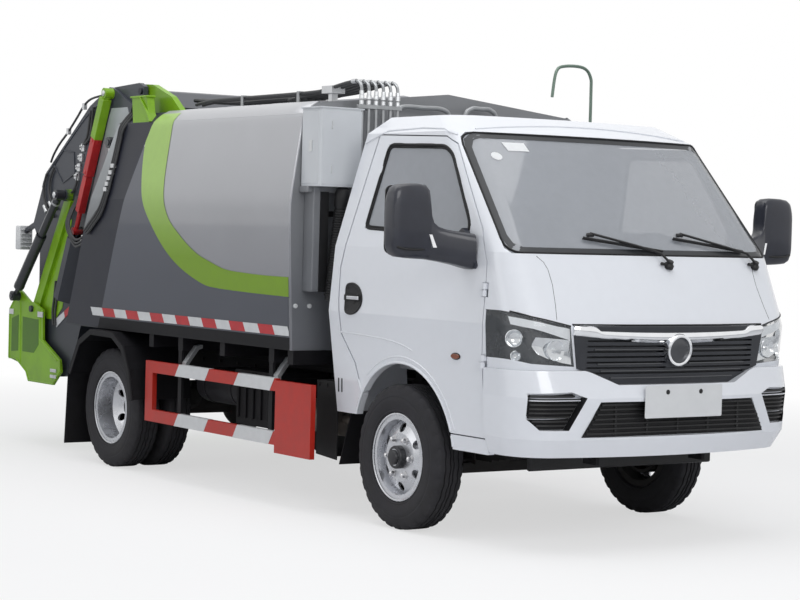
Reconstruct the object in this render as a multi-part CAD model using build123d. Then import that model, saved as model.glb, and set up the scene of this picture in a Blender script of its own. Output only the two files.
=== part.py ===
from build123d import *
import math
import os

# A two-axle rear-loading refuse compactor truck. Millimetres; +X forward, +Y to the
# truck's left, +Z up; origin on the ground, below the centre of the whole truck's box.

# ---- driving dimensions ----
overall_length = 5920.0
front_overhang = 1175.0        # front axle to the bumper's face
wheelbase = 3060.0
axle_x = overall_length / 2 - front_overhang   # the front axle, from which places are given
rear_axle_x = axle_x - wheelbase

tyre_radius = 375.0
tyre_width = 185.0
rim_seat_radius = 203.0        # where the tyre's beads sit
rim_flange_radius = 226.0
rim_width = 150.0
rim_wall = 9.0
front_wheel_y = 815.0          # middle of the front tyre
rear_outer_y = 916.0           # middle of the outer rear tyre
dual_spacing = 220.0           # middle to middle of the twin tyres
lug_circle_radius = 102.5
lug_radius = 11.0
lug_height = 22.0
lug_count = 6
hand_hole_radius = 24.0
hand_hole_circle_radius = 152.0

spindle_radius = 32.0
running_clearance = 0.05       # radial, shafts in bores
moving_gap = 6.0               # between pieces that move past each other
seat_gap = 0.3                 # between pieces that only sit together

rail_outer_y = 375.0           # chassis rails
rail_depth = 160.0
rail_flange = 62.0
rail_wall = 6.0
rail_bottom_z = 560.0
rail_top_z = rail_bottom_z + rail_depth
subframe_depth = 150.0
floor_z = rail_top_z + subframe_depth   # underside of the refuse body

tow_eye_y = (340.0, 360.0)
tow_eye_z = 450.0
tow_eye_radius = 16.0

kingpin_y = 672.0
kingpin_radius = 16.0
kingpin_boss_radius = 34.0
kingpin_boss_height = 84.0
ear_thickness = 24.0

cab_wall = 42.0                # whole thickness of cab walls and doors
door_gap = 6.0
door_swing_room = 4.0          # more room behind a door, which swings back a little as it opens
door_skin = 14.0
door_hinge = (722.0, 903.0)    # x ahead of the front axle, y
hinge_low_z = (880.0, 1230.0)
hinge_height = 70.0
hinge_pin_radius = 6.0
hinge_knuckle_radius = 12.0
hinge_pocket_radius = 26.0
glass_thickness = 6.0
glass_inset = 5.0

body_wall = 26.0               # refuse body's walls
body_front_x = axle_x - 880.0
body_half_width = 1040.0       # at the fullest height of its bulged side
body_bottom_half_width = 1015.0
body_shoulder_half_width = 965.0
body_shoulder_z = 2165.0
body_roof_edge = (890.0, 2228.0)
body_roof_z = 2322.0

rear_slant = 25.0              # lean of the tailgate joint from upright, degrees
joint_x_at_1500 = axle_x - 3400.0   # refuse body's rear face, 1500 mm up
panel_x_at_1500 = axle_x - 2930.0   # rear edge of the light side panel
tailgate_pivot = (axle_x - 2960.0, 2372.0)
tailgate_pin_radius = 20.0

plate_outer_y = 900.0          # tailgate side plates
plate_thickness = 28.0
hopper_radius = 380.0
hopper_wall = 20.0
slide_travel = 450.0
sweep_length = 362.0
packer_half_width = plate_outer_y - plate_thickness - 8.0

slant_sin = math.sin(math.radians(rear_slant))
slant_cos = math.cos(math.radians(rear_slant))


# ---- plain helpers ----
def block(x0, x1, y0, y1, z0, z1):
    """A box from its corner values."""
    size = (abs(x1 - x0), abs(y1 - y0), abs(z1 - z0))
    return Pos((x0 + x1) / 2, (y0 + y1) / 2, (z0 + z1) / 2) * Box(*size)


def slab(outline, y0, y1):
    """An (x, z) outline drawn out from y0 to y1."""
    wire = Polyline(*[(x, y0, z) for x, z in outline], close=True)
    return extrude(make_face(wire), amount=y1 - y0, dir=(0, 1, 0))


def tray(outline, z0, z1):
    """An (x, y) outline drawn up from z0 to z1."""
    wire = Polyline(*[(x, y, z0) for x, y in outline], close=True)
    return extrude(make_face(wire), amount=z1 - z0, dir=(0, 0, 1))


def panel(outline, x0, x1):
    """A (y, z) outline drawn out from x0 to x1."""
    wire = Polyline(*[(x0, y, z) for y, z in outline], close=True)
    return extrude(make_face(wire), amount=x1 - x0, dir=(1, 0, 0))


def disc_y(x, z, radius, y0, y1):
    """A cylinder lying across the truck."""
    return Pos(x, (y0 + y1) / 2, z) * Rot(90, 0, 0) * Cylinder(radius, abs(y1 - y0))


def bar(start, end, radius):
    """A round bar between two points."""
    a, b = Vector(*start), Vector(*end)
    return Plane(origin=(a + b) * 0.5, z_dir=b - a) * Cylinder(radius, (b - a).length)


def beam(start, end, depth, y0, y1):
    """A flat bar in the XZ plane between two (x, z) points, depth wide."""
    (x0, z0), (x1, z1) = start, end
    length = math.hypot(x1 - x0, z1 - z0)
    nx, nz = -(z1 - z0) / length * depth / 2, (x1 - x0) / length * depth / 2
    return slab([(x0 + nx, z0 + nz), (x1 + nx, z1 + nz), (x1 - nx, z1 - nz), (x0 - nx, z0 - nz)], y0, y1)


def spin(outline, y=0.0):
    """A (radius, y) outline turned about the Y axis."""
    wire = Polyline(*[(r, y + across, 0) for r, across in outline], close=True)
    return revolve(make_face(wire), axis=Axis.Y)


def mirrored(shape):
    return mirror(shape, about=Plane.XZ)


def slant_x(x_at_1500, z):
    """The x of a line that leans with the tailgate joint."""
    return x_at_1500 + (z - 1500.0) * slant_sin / slant_cos


def along_slant(point, distance):
    """A point moved down the slant."""
    return (point[0] - distance * slant_sin, point[1] - distance * slant_cos)


nodes = {}


# ---- wheels ----
bead = rim_width / 2
tyre_outline = [
    (rim_seat_radius + seat_gap, -bead + rim_wall),
    (rim_flange_radius + 4, -bead + rim_wall),
    (rim_flange_radius + 4, -tyre_width / 2 + 8),
    (290, -tyre_width / 2),
    (335, -tyre_width / 2 + 5),
    (tyre_radius - 12, -tyre_width / 2 + 18),
    (tyre_radius, -tyre_width / 2 + 34),
    (tyre_radius, tyre_width / 2 - 34),
    (tyre_radius - 12, tyre_width / 2 - 18),
    (335, tyre_width / 2 - 5),
    (290, tyre_width / 2),
    (rim_flange_radius + 4, tyre_width / 2 - 8),
    (rim_flange_radius + 4, bead - rim_wall),
    (rim_seat_radius + seat_gap, bead - rim_wall),
]


def tyre(y):
    return spin(tyre_outline, y)


def rim_barrel(y):
    """The rolled rim: two flanges and a seat, open inside."""
    inner = rim_seat_radius - rim_wall
    return spin([
        (inner, -bead), (rim_flange_radius, -bead), (rim_flange_radius, -bead + rim_wall - seat_gap),
        (rim_seat_radius, -bead + rim_wall - seat_gap), (rim_seat_radius, bead - rim_wall + seat_gap),
        (rim_flange_radius, bead - rim_wall + seat_gap), (rim_flange_radius, bead), (inner, bead),
    ], y)


def wheel_disc(y, outward, hub_face, rim_edge):
    """The pressed disc from the hub's flange to the rim, dished from hub_face to rim_edge (both
    measured outward from y), with round hand holes."""
    inner = rim_seat_radius - rim_wall + 0.5
    t = 9.0 * outward
    hub, edge = hub_face * outward, rim_edge * outward
    disc = spin([
        (55, hub), (125, hub), (172, (hub * 0.45 + edge * 0.55)), (inner, edge),
        (inner, edge - t), (168, (hub * 0.45 + edge * 0.55) - t), (121, hub - t), (55, hub - t),
    ], y)
    for k in range(lug_count):
        turn = math.radians(360.0 / lug_count * (k + 0.5))
        cx, cz = hand_hole_circle_radius * math.cos(turn), hand_hole_circle_radius * math.sin(turn)
        disc -= disc_y(cx, cz, hand_hole_radius, y - 200, y + 200)
    return disc


def lugs(y_face, outward):
    """Wheel nuts round the hub's flange."""
    nuts = []
    for k in range(lug_count):
        turn = math.radians(360.0 / lug_count * k)
        cx, cz = lug_circle_radius * math.cos(turn), lug_circle_radius * math.sin(turn)
        nuts.append(disc_y(cx, cz, lug_radius, y_face - 1.0 * outward, y_face + lug_height * outward))
    return nuts


def hub(y0, y1, radius, bore_to, outward):
    """A hub with a blind bore from its inner end y0 to bore_to."""
    body = disc_y(0, 0, radius, y0, y1)
    return body - disc_y(0, 0, spindle_radius + running_clearance, y0 - outward, bore_to)


# Front wheel on the left: the disc bulges outward past the rim's edge.
hub_face_front = 62.0
front_disc = wheel_disc(0, 1, hub_face_front, 20.0)
front_hub = hub(-60.0, hub_face_front + 34, 56, hub_face_front + 12, 1)
front_drum = disc_y(0, 0, 150, -58, 30) - disc_y(0, 0, 132, -59, 14)
front_wheel = rim_barrel(0) + front_disc + front_hub + front_drum
front_wheel += disc_y(0, 0, 122, 14, hub_face_front - 8.5)
front_wheel -= disc_y(0, 0, spindle_radius + running_clearance, -61, hub_face_front + 12)
for nut in lugs(hub_face_front, 1):
    front_wheel += nut
front_wheel = Pos(axle_x, front_wheel_y, tyre_radius) * front_wheel
nodes["front_rim_left"] = front_wheel
nodes["front_tyre_left"] = Pos(axle_x, front_wheel_y, tyre_radius) * tyre(0)

# Twin rear wheels on the left: both discs meet between the tyres, so the outer one is a deep dish.
rear_mid_y = rear_outer_y - dual_spacing / 2
outer_y = dual_spacing / 2
twin = rim_barrel(outer_y) + rim_barrel(-outer_y)
twin += wheel_disc(outer_y, -1, outer_y - 9.5, 42.0)
twin += wheel_disc(-outer_y, 1, outer_y - 9.5, 42.0)
twin += disc_y(0, 0, 120, -12, 12)
twin += disc_y(0, 0, 56, -175, 66)
twin += disc_y(0, 0, 160, -176, -60) - disc_y(0, 0, 142, -177, -72)
twin += disc_y(0, 0, 150, -72, -12)
twin -= disc_y(0, 0, spindle_radius + running_clearance, -178, 40)
for nut in lugs(9.5, 1):
    twin += nut
nodes["rear_rims_left"] = Pos(rear_axle_x, rear_mid_y, tyre_radius) * twin
nodes["rear_tyres_left"] = Pos(rear_axle_x, rear_mid_y, tyre_radius) * Compound(
    children=[tyre(outer_y), tyre(-outer_y)])

# ---- front axle, knuckles, springs ----
axle_z = tyre_radius
spring_y = 395.0
spring_width = 70.0
boss_half = kingpin_boss_height / 2

beam_drop = 70.0
front_beam = slab([(-38, -26), (38, -26), (38, 26), (-38, 26)], -500, 500)
front_beam = Pos(axle_x, 0, axle_z - beam_drop) * front_beam
for side in (1, -1):
    arm = panel([(side * 498, axle_z - beam_drop - 26), (side * 498, axle_z - beam_drop + 26),
                 (side * (kingpin_y - 20), axle_z + 28), (side * kingpin_y, axle_z + 28),
                 (side * kingpin_y, axle_z - 28), (side * (kingpin_y - 20), axle_z - 28)],
                axle_x - 30, axle_x + 30)
    boss = Pos(axle_x, side * kingpin_y, axle_z) * Cylinder(kingpin_boss_radius, kingpin_boss_height)
    front_beam += arm + boss
    front_beam += block(axle_x - 60, axle_x + 60, side * (spring_y - 42), side * (spring_y + 42),
                        axle_z - beam_drop + 20, axle_z - beam_drop + 45)
for side in (1, -1):
    front_beam -= Pos(axle_x, side * kingpin_y, axle_z) * Cylinder(
        kingpin_radius + running_clearance, kingpin_boss_height + 2)

ear_low = boss_half + moving_gap
ear_high = ear_low + ear_thickness
knuckle = Cylinder(kingpin_radius, 2 * ear_high)
for up in (1, -1):
    knuckle += Pos(0, 0, up * (ear_low + ear_high) / 2) * Cylinder(kingpin_boss_radius, ear_thickness)
    knuckle += block(-30, 30, 0, 66, up * ear_low, up * ear_high)
knuckle += block(-42, 42, kingpin_boss_radius + moving_gap, 74, -ear_high, ear_high)
spindle_end = front_wheel_y + hub_face_front + 10 - kingpin_y
knuckle += disc_y(0, 0, spindle_radius, 70, spindle_end)
nodes["steering_knuckle_left"] = Pos(axle_x, kingpin_y, axle_z) * knuckle


def leaf_spring(x_mid, half_length, z_low, leaf_count, eye_z):
    """One leaf pack: leaves shorten downward, with its front hanger and rear shackle."""
    leaf = 11.0
    low, high = spring_y - spring_width / 2, spring_y + spring_width / 2
    pack = block(x_mid - half_length, x_mid + half_length, low, high,
                 z_low + (leaf_count - 1) * leaf, z_low + leaf_count * leaf)
    for k in range(leaf_count - 1):
        share = 0.35 + 0.65 * k / leaf_count
        pack += block(x_mid - half_length * share, x_mid + half_length * share, low, high,
                      z_low + k * leaf, z_low + (k + 1) * leaf)
    top = z_low + leaf_count * leaf
    for end in (1, -1):
        x_eye = x_mid + end * (half_length - 22)
        pack += slab([(x_eye - 26, top - 4), (x_eye + 26, top - 4), (x_eye + 40, eye_z),
                      (x_eye - 40, eye_z)],
                     low, high)
    for dx in (-52, 52):
        for y in (low - 10, high + 10):
            pack += block(x_mid + dx - 8, x_mid + dx + 8, y - 8, y + 8, z_low + 2, top + 18)
    pack += block(x_mid - 60, x_mid + 60, low - 18, high + 18, top, top + 16)
    return pack


front_spring_z = axle_z - beam_drop + 45
springs = leaf_spring(axle_x, 560.0, front_spring_z, 6, rail_bottom_z - seat_gap)
nodes["front_axle_and_springs"] = front_beam + springs + mirrored(springs)

housing_radius = 52.0
rear_spring_z = axle_z + housing_radius + 14
rear_springs = leaf_spring(rear_axle_x, 620.0, rear_spring_z, 7, rail_bottom_z - seat_gap)

# ---- rear axle ----
drum_inner_y = rear_mid_y - 176
housing = disc_y(rear_axle_x, axle_z, housing_radius, -(drum_inner_y - moving_gap),
                 drum_inner_y - moving_gap)
housing += Pos(rear_axle_x, 0, axle_z) * Sphere(165)
housing += bar((rear_axle_x, 0, axle_z), (rear_axle_x + 260, 0, axle_z + 25), 70)
for side in (1, -1):
    housing += disc_y(rear_axle_x, axle_z, spindle_radius, side * (drum_inner_y - moving_gap - 5),
                      side * (rear_mid_y + 38))
    housing += disc_y(rear_axle_x, axle_z, 138, side * (drum_inner_y - moving_gap - 12),
                      side * (drum_inner_y - moving_gap))
    housing += block(rear_axle_x - 60, rear_axle_x + 60, side * (spring_y - 40), side * (spring_y + 40),
                     axle_z, rear_spring_z)
nodes["rear_axle_and_springs"] = housing + rear_springs + mirrored(rear_springs)

# ---- chassis frame ----
frame_front_x = axle_x + 960.0
frame_rear_x = slant_x(joint_x_at_1500, rail_top_z) + 40.0
rail = block(frame_rear_x, frame_front_x, rail_outer_y - rail_flange, rail_outer_y, rail_bottom_z,
             rail_top_z)
rail -= block(frame_rear_x - 1, frame_front_x + 1, rail_outer_y - rail_flange - 1,
              rail_outer_y - rail_wall,
              rail_bottom_z + rail_wall, rail_top_z - rail_wall)
frame = rail + mirrored(rail)
crossmember_half = 40.0
for x in (frame_front_x - 60, axle_x - 700, axle_x - 1330, axle_x - 1960,
          rear_axle_x + 640, rear_axle_x - 20, rear_axle_x - 560):
    cross = block(x - crossmember_half, x + crossmember_half, -(rail_outer_y - 2), rail_outer_y - 2,
                  rail_bottom_z + 20, rail_top_z - 20)
    cross -= block(x - crossmember_half + 6, x + crossmember_half + 1, -(rail_outer_y - 60),
                   rail_outer_y - 60,
                   rail_bottom_z + 26, rail_top_z - 26)
    frame += cross
cab_floor_z = 800.0
for x in (axle_x + 660, axle_x - 570):
    for side in (1, -1):
        frame += block(x - 32, x + 32, side * 318, side * 370, rail_top_z - 2, cab_floor_z - seat_gap)
# Towing eyes below the rails' front ends.
for side in (1, -1):
    eye_plate = block(frame_front_x - 112, frame_front_x - 12, side * tow_eye_y[0], side * tow_eye_y[1],
                      412,
                      rail_bottom_z + 5)
    frame += eye_plate - disc_y(frame_front_x - 62, tow_eye_z, tow_eye_radius, side * (tow_eye_y[0] - 1),
                                side * (tow_eye_y[1] + 1))
nodes["chassis_frame"] = frame

engine_rear_x = axle_x - 640.0
engine_front_x = axle_x + 130.0
engine_half_width = 262.0
engine_bottom_z = 452.0
engine_top_z = 930.0
powertrain = block(engine_rear_x, engine_front_x, -engine_half_width, engine_half_width,
                   engine_bottom_z, engine_top_z)

gearbox_length = 520.0
gearbox_rear_x = engine_rear_x - gearbox_length
powertrain += slab([(engine_rear_x, 462), (engine_rear_x, 570), (gearbox_rear_x, 560),
                    (gearbox_rear_x, 470)],
                   -110, 110)
powertrain += bar((gearbox_rear_x + 4, 0, 515), (rear_axle_x + 264.0, 0, axle_z + 30), 38)
for x in (engine_rear_x + 120, engine_front_x - 200):
    for side in (1, -1):
        powertrain += block(x - 40, x + 40, side * (engine_half_width - 2),
                            side * (rail_outer_y - rail_wall - seat_gap),
                            600, 650)
nodes["powertrain"] = powertrain

tank_front_x = axle_x - 1180.0
tank_rear_x = tank_front_x - 700.0
tank = block(tank_rear_x, tank_front_x, rail_outer_y + 45, rail_outer_y + 445, 330, 690)
tank = fillet(tank.edges().filter_by(Axis.X), 60)
for x in (tank_rear_x + 120, tank_front_x - 120):
    tank += block(x - 20, x + 20, rail_outer_y, rail_outer_y + 60, 420, 690)
nodes["fuel_tank"] = tank

battery_front_x = axle_x - 1440.0
battery_box = block(battery_front_x - 420, battery_front_x, -(rail_outer_y + 400), -(rail_outer_y + 40),
                    380, 690)
for x in (battery_front_x - 350, battery_front_x - 70):
    battery_box += block(x - 20, x + 20, -(rail_outer_y + 50), -rail_outer_y, 600, 690)
nodes["battery_box"] = battery_box

silencer_x = axle_x - 1000.0
silencer = bar((silencer_x, -560, 470), (silencer_x - 330, -560, 470), 95)
silencer += bar((silencer_x - 20, -560, 470), (silencer_x + 150, -560, 470), 28)
silencer += block(silencer_x - 190, silencer_x - 150, -580, -rail_outer_y, 540, 600)
nodes["exhaust_silencer"] = silencer

# ---- cab form ----
# Plan sections, ahead of the front axle:
# (z, rear wall x, half width, where the side turns, corner x, corner y, nose x)
cab_sections = [
    (460.0, -600.0, 866.0, 820.0, 1010.0, 700.0, 1072.0),
    (1100.0, -672.0, 905.0, 860.0, 1048.0, 712.0, 1098.0),
    (1450.0, -640.0, 893.0, 730.0, 875.0, 760.0, 940.0),
    (2050.0, -470.0, 815.0, 230.0, 365.0, 680.0, 440.0),
    (2140.0, -395.0, 715.0, 40.0, 205.0, 560.0, 255.0),
]
corner_fullness = 0.19


def cab_section(z, rear, half, turn_x, corner_x, corner_y, nose):
    """One plan section: straight back and sides, round corners and a slightly round nose."""
    chord_x, chord_y = corner_x - turn_x, half - corner_y
    mid = ((turn_x + corner_x) / 2 + chord_y * corner_fullness,
           (half + corner_y) / 2 + chord_x * corner_fullness)
    x = axle_x
    edges = [
        Line((x + rear, -half, z), (x + turn_x, -half, z)),
        ThreePointArc((x + turn_x, -half, z), (x + mid[0], -mid[1], z), (x + corner_x, -corner_y, z)),
        ThreePointArc((x + corner_x, -corner_y, z), (x + nose, 0, z), (x + corner_x, corner_y, z)),
        ThreePointArc((x + corner_x, corner_y, z), (x + mid[0], mid[1], z), (x + turn_x, half, z)),
        Line((x + turn_x, half, z), (x + rear, half, z)),
        Line((x + rear, half, z), (x + rear, -half, z)),
    ]
    return make_face(edges)


def cab_form(inset, bottom_drop=0.0):
    """The cab's closed outer form, every wall moved in by inset."""
    faces = []
    for k, (z, rear, half, turn_x, corner_x, corner_y, nose) in enumerate(cab_sections):
        if k == 0:
            z -= bottom_drop
        if k == len(cab_sections) - 1:
            z -= inset
        faces.append(cab_section(z, rear + inset, half - inset, turn_x - inset * 0.4,
                                 corner_x - inset * 0.95,
                                 corner_y - inset * 0.5, nose - inset))
    return loft(faces, ruled=True)


def ahead(outline):
    """Turns (x ahead of the front axle, z) points into the truck's own."""
    return [(axle_x + x, z) for x, z in outline]


arch_centre_z = 410.0
arch_radius = 448.0
floor_thickness = 30.0
cab_bottom_z = 460.0
cab_rear_sill_z = 560.0        # underside behind the wheel arch
bumper_top_z = 890.0
bumper_rear_x = 735.0
bumper_wall = 50.0

door_outline = [(715, 540), (702, 930), (722, 1270), (722, 1400), (655, 1560), (338, 1982), (255, 2020),
                (-345, 2040), (-440, 1750), (-572, 1335), (-574, 1160), (-548, 985), (-420, 835), (-300, 540)]
window_outline = [(-250, 1990), (258, 1976), (330, 1935), (560, 1578), (498, 1386), (328, 1412),
                  (60, 1530),
                  (-378, 1548)]
mirror_foot_outline = [(508, 1370), (652, 1364), (650, 1440), (568, 1562)]
windshield_outline = [(-856, 1470), (-838, 1446), (838, 1446), (856, 1470), (790, 2020), (764, 2045),
                      (-764, 2045), (-790, 2020)]
rear_window_outline = [(-560, 1560), (560, 1560), (520, 1900), (-520, 1900)]
headlight_outline = [(632, 1100), (820, 1142), (960, 1192), (960, 958), (820, 922), (600, 908)]
grille_outline = [(-622, 1106), (622, 1106), (588, 900), (520, 880), (380, 822), (-380, 822), (-520, 880),
                  (-588, 900)]


def drawn_y(outline, amount, y0, y1):
    """An (x, z) outline grown by amount and drawn from y0 to y1."""
    face = offset(make_face(Polyline(*outline, close=True)), amount=amount, kind=Kind.INTERSECTION)
    return Plane(origin=(0, y1, 0), x_dir=(1, 0, 0), z_dir=(0, -1, 0)) * extrude(face, amount=y1 - y0)


def drawn_x(outline, amount, x0, x1):
    """A (y, z) outline grown by amount and drawn from x0 to x1."""
    face = offset(make_face(Polyline(*outline, close=True)), amount=amount, kind=Kind.INTERSECTION)
    return Plane(origin=(x0, 0, 0), x_dir=(0, 1, 0), z_dir=(1, 0, 0)) * extrude(face, amount=x1 - x0)


outer_form = cab_form(0.0)
inner_form = cab_form(cab_wall, bottom_drop=40.0)
wall_form = outer_form - inner_form
arch = disc_y(axle_x, arch_centre_z, arch_radius, -1200, 1200)

engine_cover_x = (engine_rear_x - 30.0, engine_front_x + 30.0)
engine_cover_half = engine_half_width + 28.0
engine_cover_top = engine_top_z + 55.0
cab = wall_form + (cab_form(cab_wall - 1.0, 0.0) & block(
    axle_x - 700, axle_x + 1000, -900, 900, cab_floor_z, cab_floor_z + floor_thickness))
cab += block(engine_cover_x[0], engine_cover_x[1], -engine_cover_half, engine_cover_half,
             cab_floor_z, engine_cover_top)
cab -= block(engine_cover_x[0] + 12, engine_cover_x[1] - 12, -engine_cover_half + 12,
             engine_cover_half - 12,
             cab_floor_z - 10, engine_cover_top - 12)
# Lower body: cut clear behind the arch, around the bumper and along the wheel wells.
cab -= block(axle_x - 800, axle_x - 200, -1000, 1000, cab_bottom_z - 5, cab_rear_sill_z)
cab -= block(axle_x - 800, axle_x - 560, -(rail_outer_y + 60), rail_outer_y + 60, 500, cab_floor_z)
cab -= block(axle_x + bumper_rear_x - seat_gap, axle_x + 1300, -1000, 1000, cab_bottom_z - 5,
             bumper_top_z + seat_gap)
cab -= arch & (block(axle_x - 900, axle_x + 900, 300, 1200, 0, cab_floor_z)
               + block(axle_x - 900, axle_x + 900, -1200, -300, 0, cab_floor_z))
side_band = block(axle_x - 900, axle_x + 900, 780, 1000, 0, 2300)
arch_band = side_band + mirrored(side_band)
cab -= arch & arch_band
door_hole = drawn_y(ahead(door_outline), door_gap, 600, 1000)
door_hole += Pos(-door_swing_room, 0, 0) * door_hole
cab -= door_hole
cab -= mirrored(door_hole)
cab -= drawn_x(windshield_outline, seat_gap, axle_x + 150, axle_x + 1300)
cab -= drawn_x(rear_window_outline, seat_gap, axle_x - 800, axle_x - 300)
grille_cut = drawn_x(grille_outline, seat_gap, axle_x + 900, axle_x + 1300)
cab -= grille_cut
headlight_cut = drawn_x(headlight_outline, seat_gap, axle_x + bumper_rear_x, axle_x + 1300)
cab -= headlight_cut
cab -= mirrored(headlight_cut)
for z_low in hinge_low_z:
    hinge_x, hinge_y = axle_x + door_hinge[0], door_hinge[1]
    pocket = Pos(hinge_x, hinge_y, z_low + hinge_height / 2) * Cylinder(hinge_pocket_radius, hinge_height)
    half_z = z_low + hinge_height / 2
    knuckle_high = Pos(hinge_x, hinge_y, half_z + hinge_height / 4) * Cylinder(
        hinge_knuckle_radius, hinge_height / 2 - moving_gap)
    knuckle_high += block(hinge_x + 7, hinge_x + 12.5, hinge_y - 45, hinge_y + 2, half_z + moving_gap / 2,
                          half_z + hinge_height / 2 - moving_gap / 2)
    pin = Pos(hinge_x, hinge_y, half_z) * Cylinder(hinge_pin_radius, hinge_height - 16)
    for piece_sign in (1, -1):
        cut = pocket if piece_sign > 0 else mirrored(pocket)
        fitting = knuckle_high + pin if piece_sign > 0 else mirrored(knuckle_high + pin)
        cab -= cut
        cab += fitting
nodes["cab_shell"] = cab

glass_form = cab_form(glass_inset) - cab_form(glass_inset + glass_thickness)
windshield = glass_form & drawn_x(windshield_outline, 0.0, axle_x + 150, axle_x + 1300)
rear_window = glass_form & drawn_x(rear_window_outline, 0.0, axle_x - 800, axle_x - 300)
nodes["cab_glass"] = Compound(children=[windshield, rear_window])

door = drawn_y(ahead(door_outline), 0.0, 600, 1000) & (outer_form - cab_form(door_skin))
door += drawn_y(ahead(door_outline), -12.0, 600, 1000) & (cab_form(door_skin - 0.5) - inner_form)
door -= arch
door -= drawn_y(ahead(window_outline), seat_gap, 600, 1000)
for z_low in hinge_low_z:
    hinge_x, hinge_y = axle_x + door_hinge[0], door_hinge[1]
    half_z = z_low + hinge_height / 2
    door -= Pos(hinge_x, hinge_y, half_z) * Cylinder(hinge_pocket_radius, hinge_height)
    door += Pos(hinge_x, hinge_y, half_z - hinge_height / 4) * Cylinder(
        hinge_knuckle_radius, hinge_height / 2 - moving_gap)
    door += block(hinge_x - 40, hinge_x - 6, hinge_y - 12, hinge_y + 2, z_low + moving_gap / 2,
                  half_z - moving_gap / 2)
    door -= Pos(hinge_x, hinge_y, half_z) * Cylinder(hinge_pin_radius + running_clearance, hinge_height)
handle_x, handle_z = axle_x - 445.0, 1178.0
door += block(handle_x - 62, handle_x + 62, 888, 914, handle_z - 14, handle_z + 14)
nodes["door_left"] = door
nodes["door_glass_left"] = glass_form & drawn_y(ahead(window_outline), 0.0, 600, 1000)

# ---- lamps, grille and bumper ----
lamp_form = cab_form(3.0) - cab_form(70.0)
headlight = lamp_form & drawn_x(headlight_outline, 0.0, axle_x + bumper_rear_x + seat_gap,
                                axle_x + 1300)
nodes["headlights"] = Compound(children=[headlight, mirrored(headlight)])

grille_form = cab_form(-12.0) - cab_form(42.0)
grille = grille_form & drawn_x(grille_outline, 0.0, axle_x + 900, axle_x + 1300)
slot_height = 9.0
for z in (872, 898, 924, 950, 976, 1002, 1028):
    slot = block(axle_x + 900, axle_x + 1300, -540, 540, z, z + slot_height)
    slot -= block(axle_x + 900, axle_x + 1300, -60, 60, 900, 1060)
    grille -= slot & (cab_form(-13.0) - cab_form(14.0))
nodes["front_grille"] = grille

bumper_form = loft([cab_section(z, -300, half, turn, cx, cy, nose) for z, half, turn, cx, cy, nose in (
    (470.0, 858.0, 800.0, 1040.0, 690.0, 1130.0), (560.0, 892.0, 850.0, 1095.0, 690.0, 1165.0),
    (760.0, 906.0, 860.0, 1105.0, 690.0, 1175.0), (bumper_top_z, 905.0, 855.0, 1062.0, 705.0, 1118.0))],
    ruled=True)
bumper_inner = loft([cab_section(z, -300, half, turn, cx, cy, nose) for z, half, turn, cx, cy, nose in (
    (469.0, 858.0 - bumper_wall, 780.0, 1000.0, 650.0, 1080.0),
    (bumper_top_z + 1, 905.0 - bumper_wall, 825.0, 1005.0, 655.0, 1060.0))], ruled=True)
bumper = (bumper_form - bumper_inner) & block(axle_x + bumper_rear_x, axle_x + 1300, -1000, 1000,
                                              460, bumper_top_z)
bumper -= drawn_x(grille_outline, seat_gap, axle_x + 900, axle_x + 1300)
lower_grille_outline = [(-497, 742), (497, 742), (597, 570), (-597, 570)]
bumper -= drawn_x(lower_grille_outline, 0.0, axle_x + 1128, axle_x + 1300)
fog_outline = [(572, 762), (650, 790), (850, 782), (850, 660), (800, 606), (662, 606)]
fog_cut = drawn_x(fog_outline, 0.0, axle_x + 1000, axle_x + 1300) - cab_form(-30.0)
bumper -= fog_cut
bumper -= mirrored(fog_cut)
for y in (-560, -200, 200, 560):
    bumper += block(axle_x + 1010, axle_x + 1082, y - 20, y + 20, 560, 700)
nodes["front_bumper"] = bumper

# ---- mirrors, carried by the doors ----
mirror_outer_y = 1330.0
mirror_head = block(axle_x + 458, axle_x + 562, mirror_outer_y - 212, mirror_outer_y, 1412, 1772)
mirror_head = fillet(mirror_head.edges().filter_by(Axis.X), 48)
mirror_head = fillet(mirror_head.edges().filter_by(GeomType.CIRCLE), 14)
mirror_arm = tray([(axle_x + 560, 899), (axle_x + 612, 899), (axle_x + 560, 1125),
                   (axle_x + 490, 1125)], 1428, 1484)
mirror_foot = drawn_y(ahead(mirror_foot_outline), 0.0, 600,
                      1000) & (cab_form(-20.0) - cab_form(-seat_gap))
nodes["mirror_left"] = mirror_head + mirror_arm + mirror_foot

# ---- inside the cab ----
cushion_z = engine_cover_top + 15
interior = []
for side in (1, -1):
    y_in, y_out = side * 190.0, side * 670.0
    cushion = block(axle_x - 560, axle_x + 60, y_in, y_out, cushion_z, cushion_z + 135)
    back = slab([(axle_x - 600, 1130), (axle_x - 480, 1130), (axle_x - 455, 1500),
                 (axle_x - 555, 1500)], min(y_in, y_out), max(y_in, y_out))
    rest = block(axle_x - 528, axle_x - 455, side * 310, side * 550, 1498, 1680)
    base = block(axle_x - 440, axle_x + 20, side * (engine_cover_half + 10), side * 620,
                 cab_floor_z + floor_thickness + seat_gap, cushion_z + 1)
    interior.append(cushion + back + rest + base)
dashboard = cab_form(cab_wall + 25.0) & slab(
    ahead([(430, 1130), (690, 1130), (690, 1215), (1000, 1215), (1000, 1395), (430, 1395)]), -900, 900)
dashboard += block(axle_x + 560, axle_x + 690, -180, 180, cab_floor_z + floor_thickness + seat_gap,
                   1140)
column_lean = 35.0
steering_wheel = Torus(195, 15) + Cylinder(42, 40)
for turn in (30, 150, 270):
    steering_wheel += Rot(0, 0, turn) * Pos(100, 0, 0) * Box(190, 26, 12)
steering_wheel += Pos(0, 0, -150) * Cylinder(24, 300)
dashboard += Pos(axle_x + 270, 430, 1440) * Rot(0, -column_lean, 0) * steering_wheel
interior.append(dashboard)
nodes["cab_interior"] = Compound(children=interior)

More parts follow.
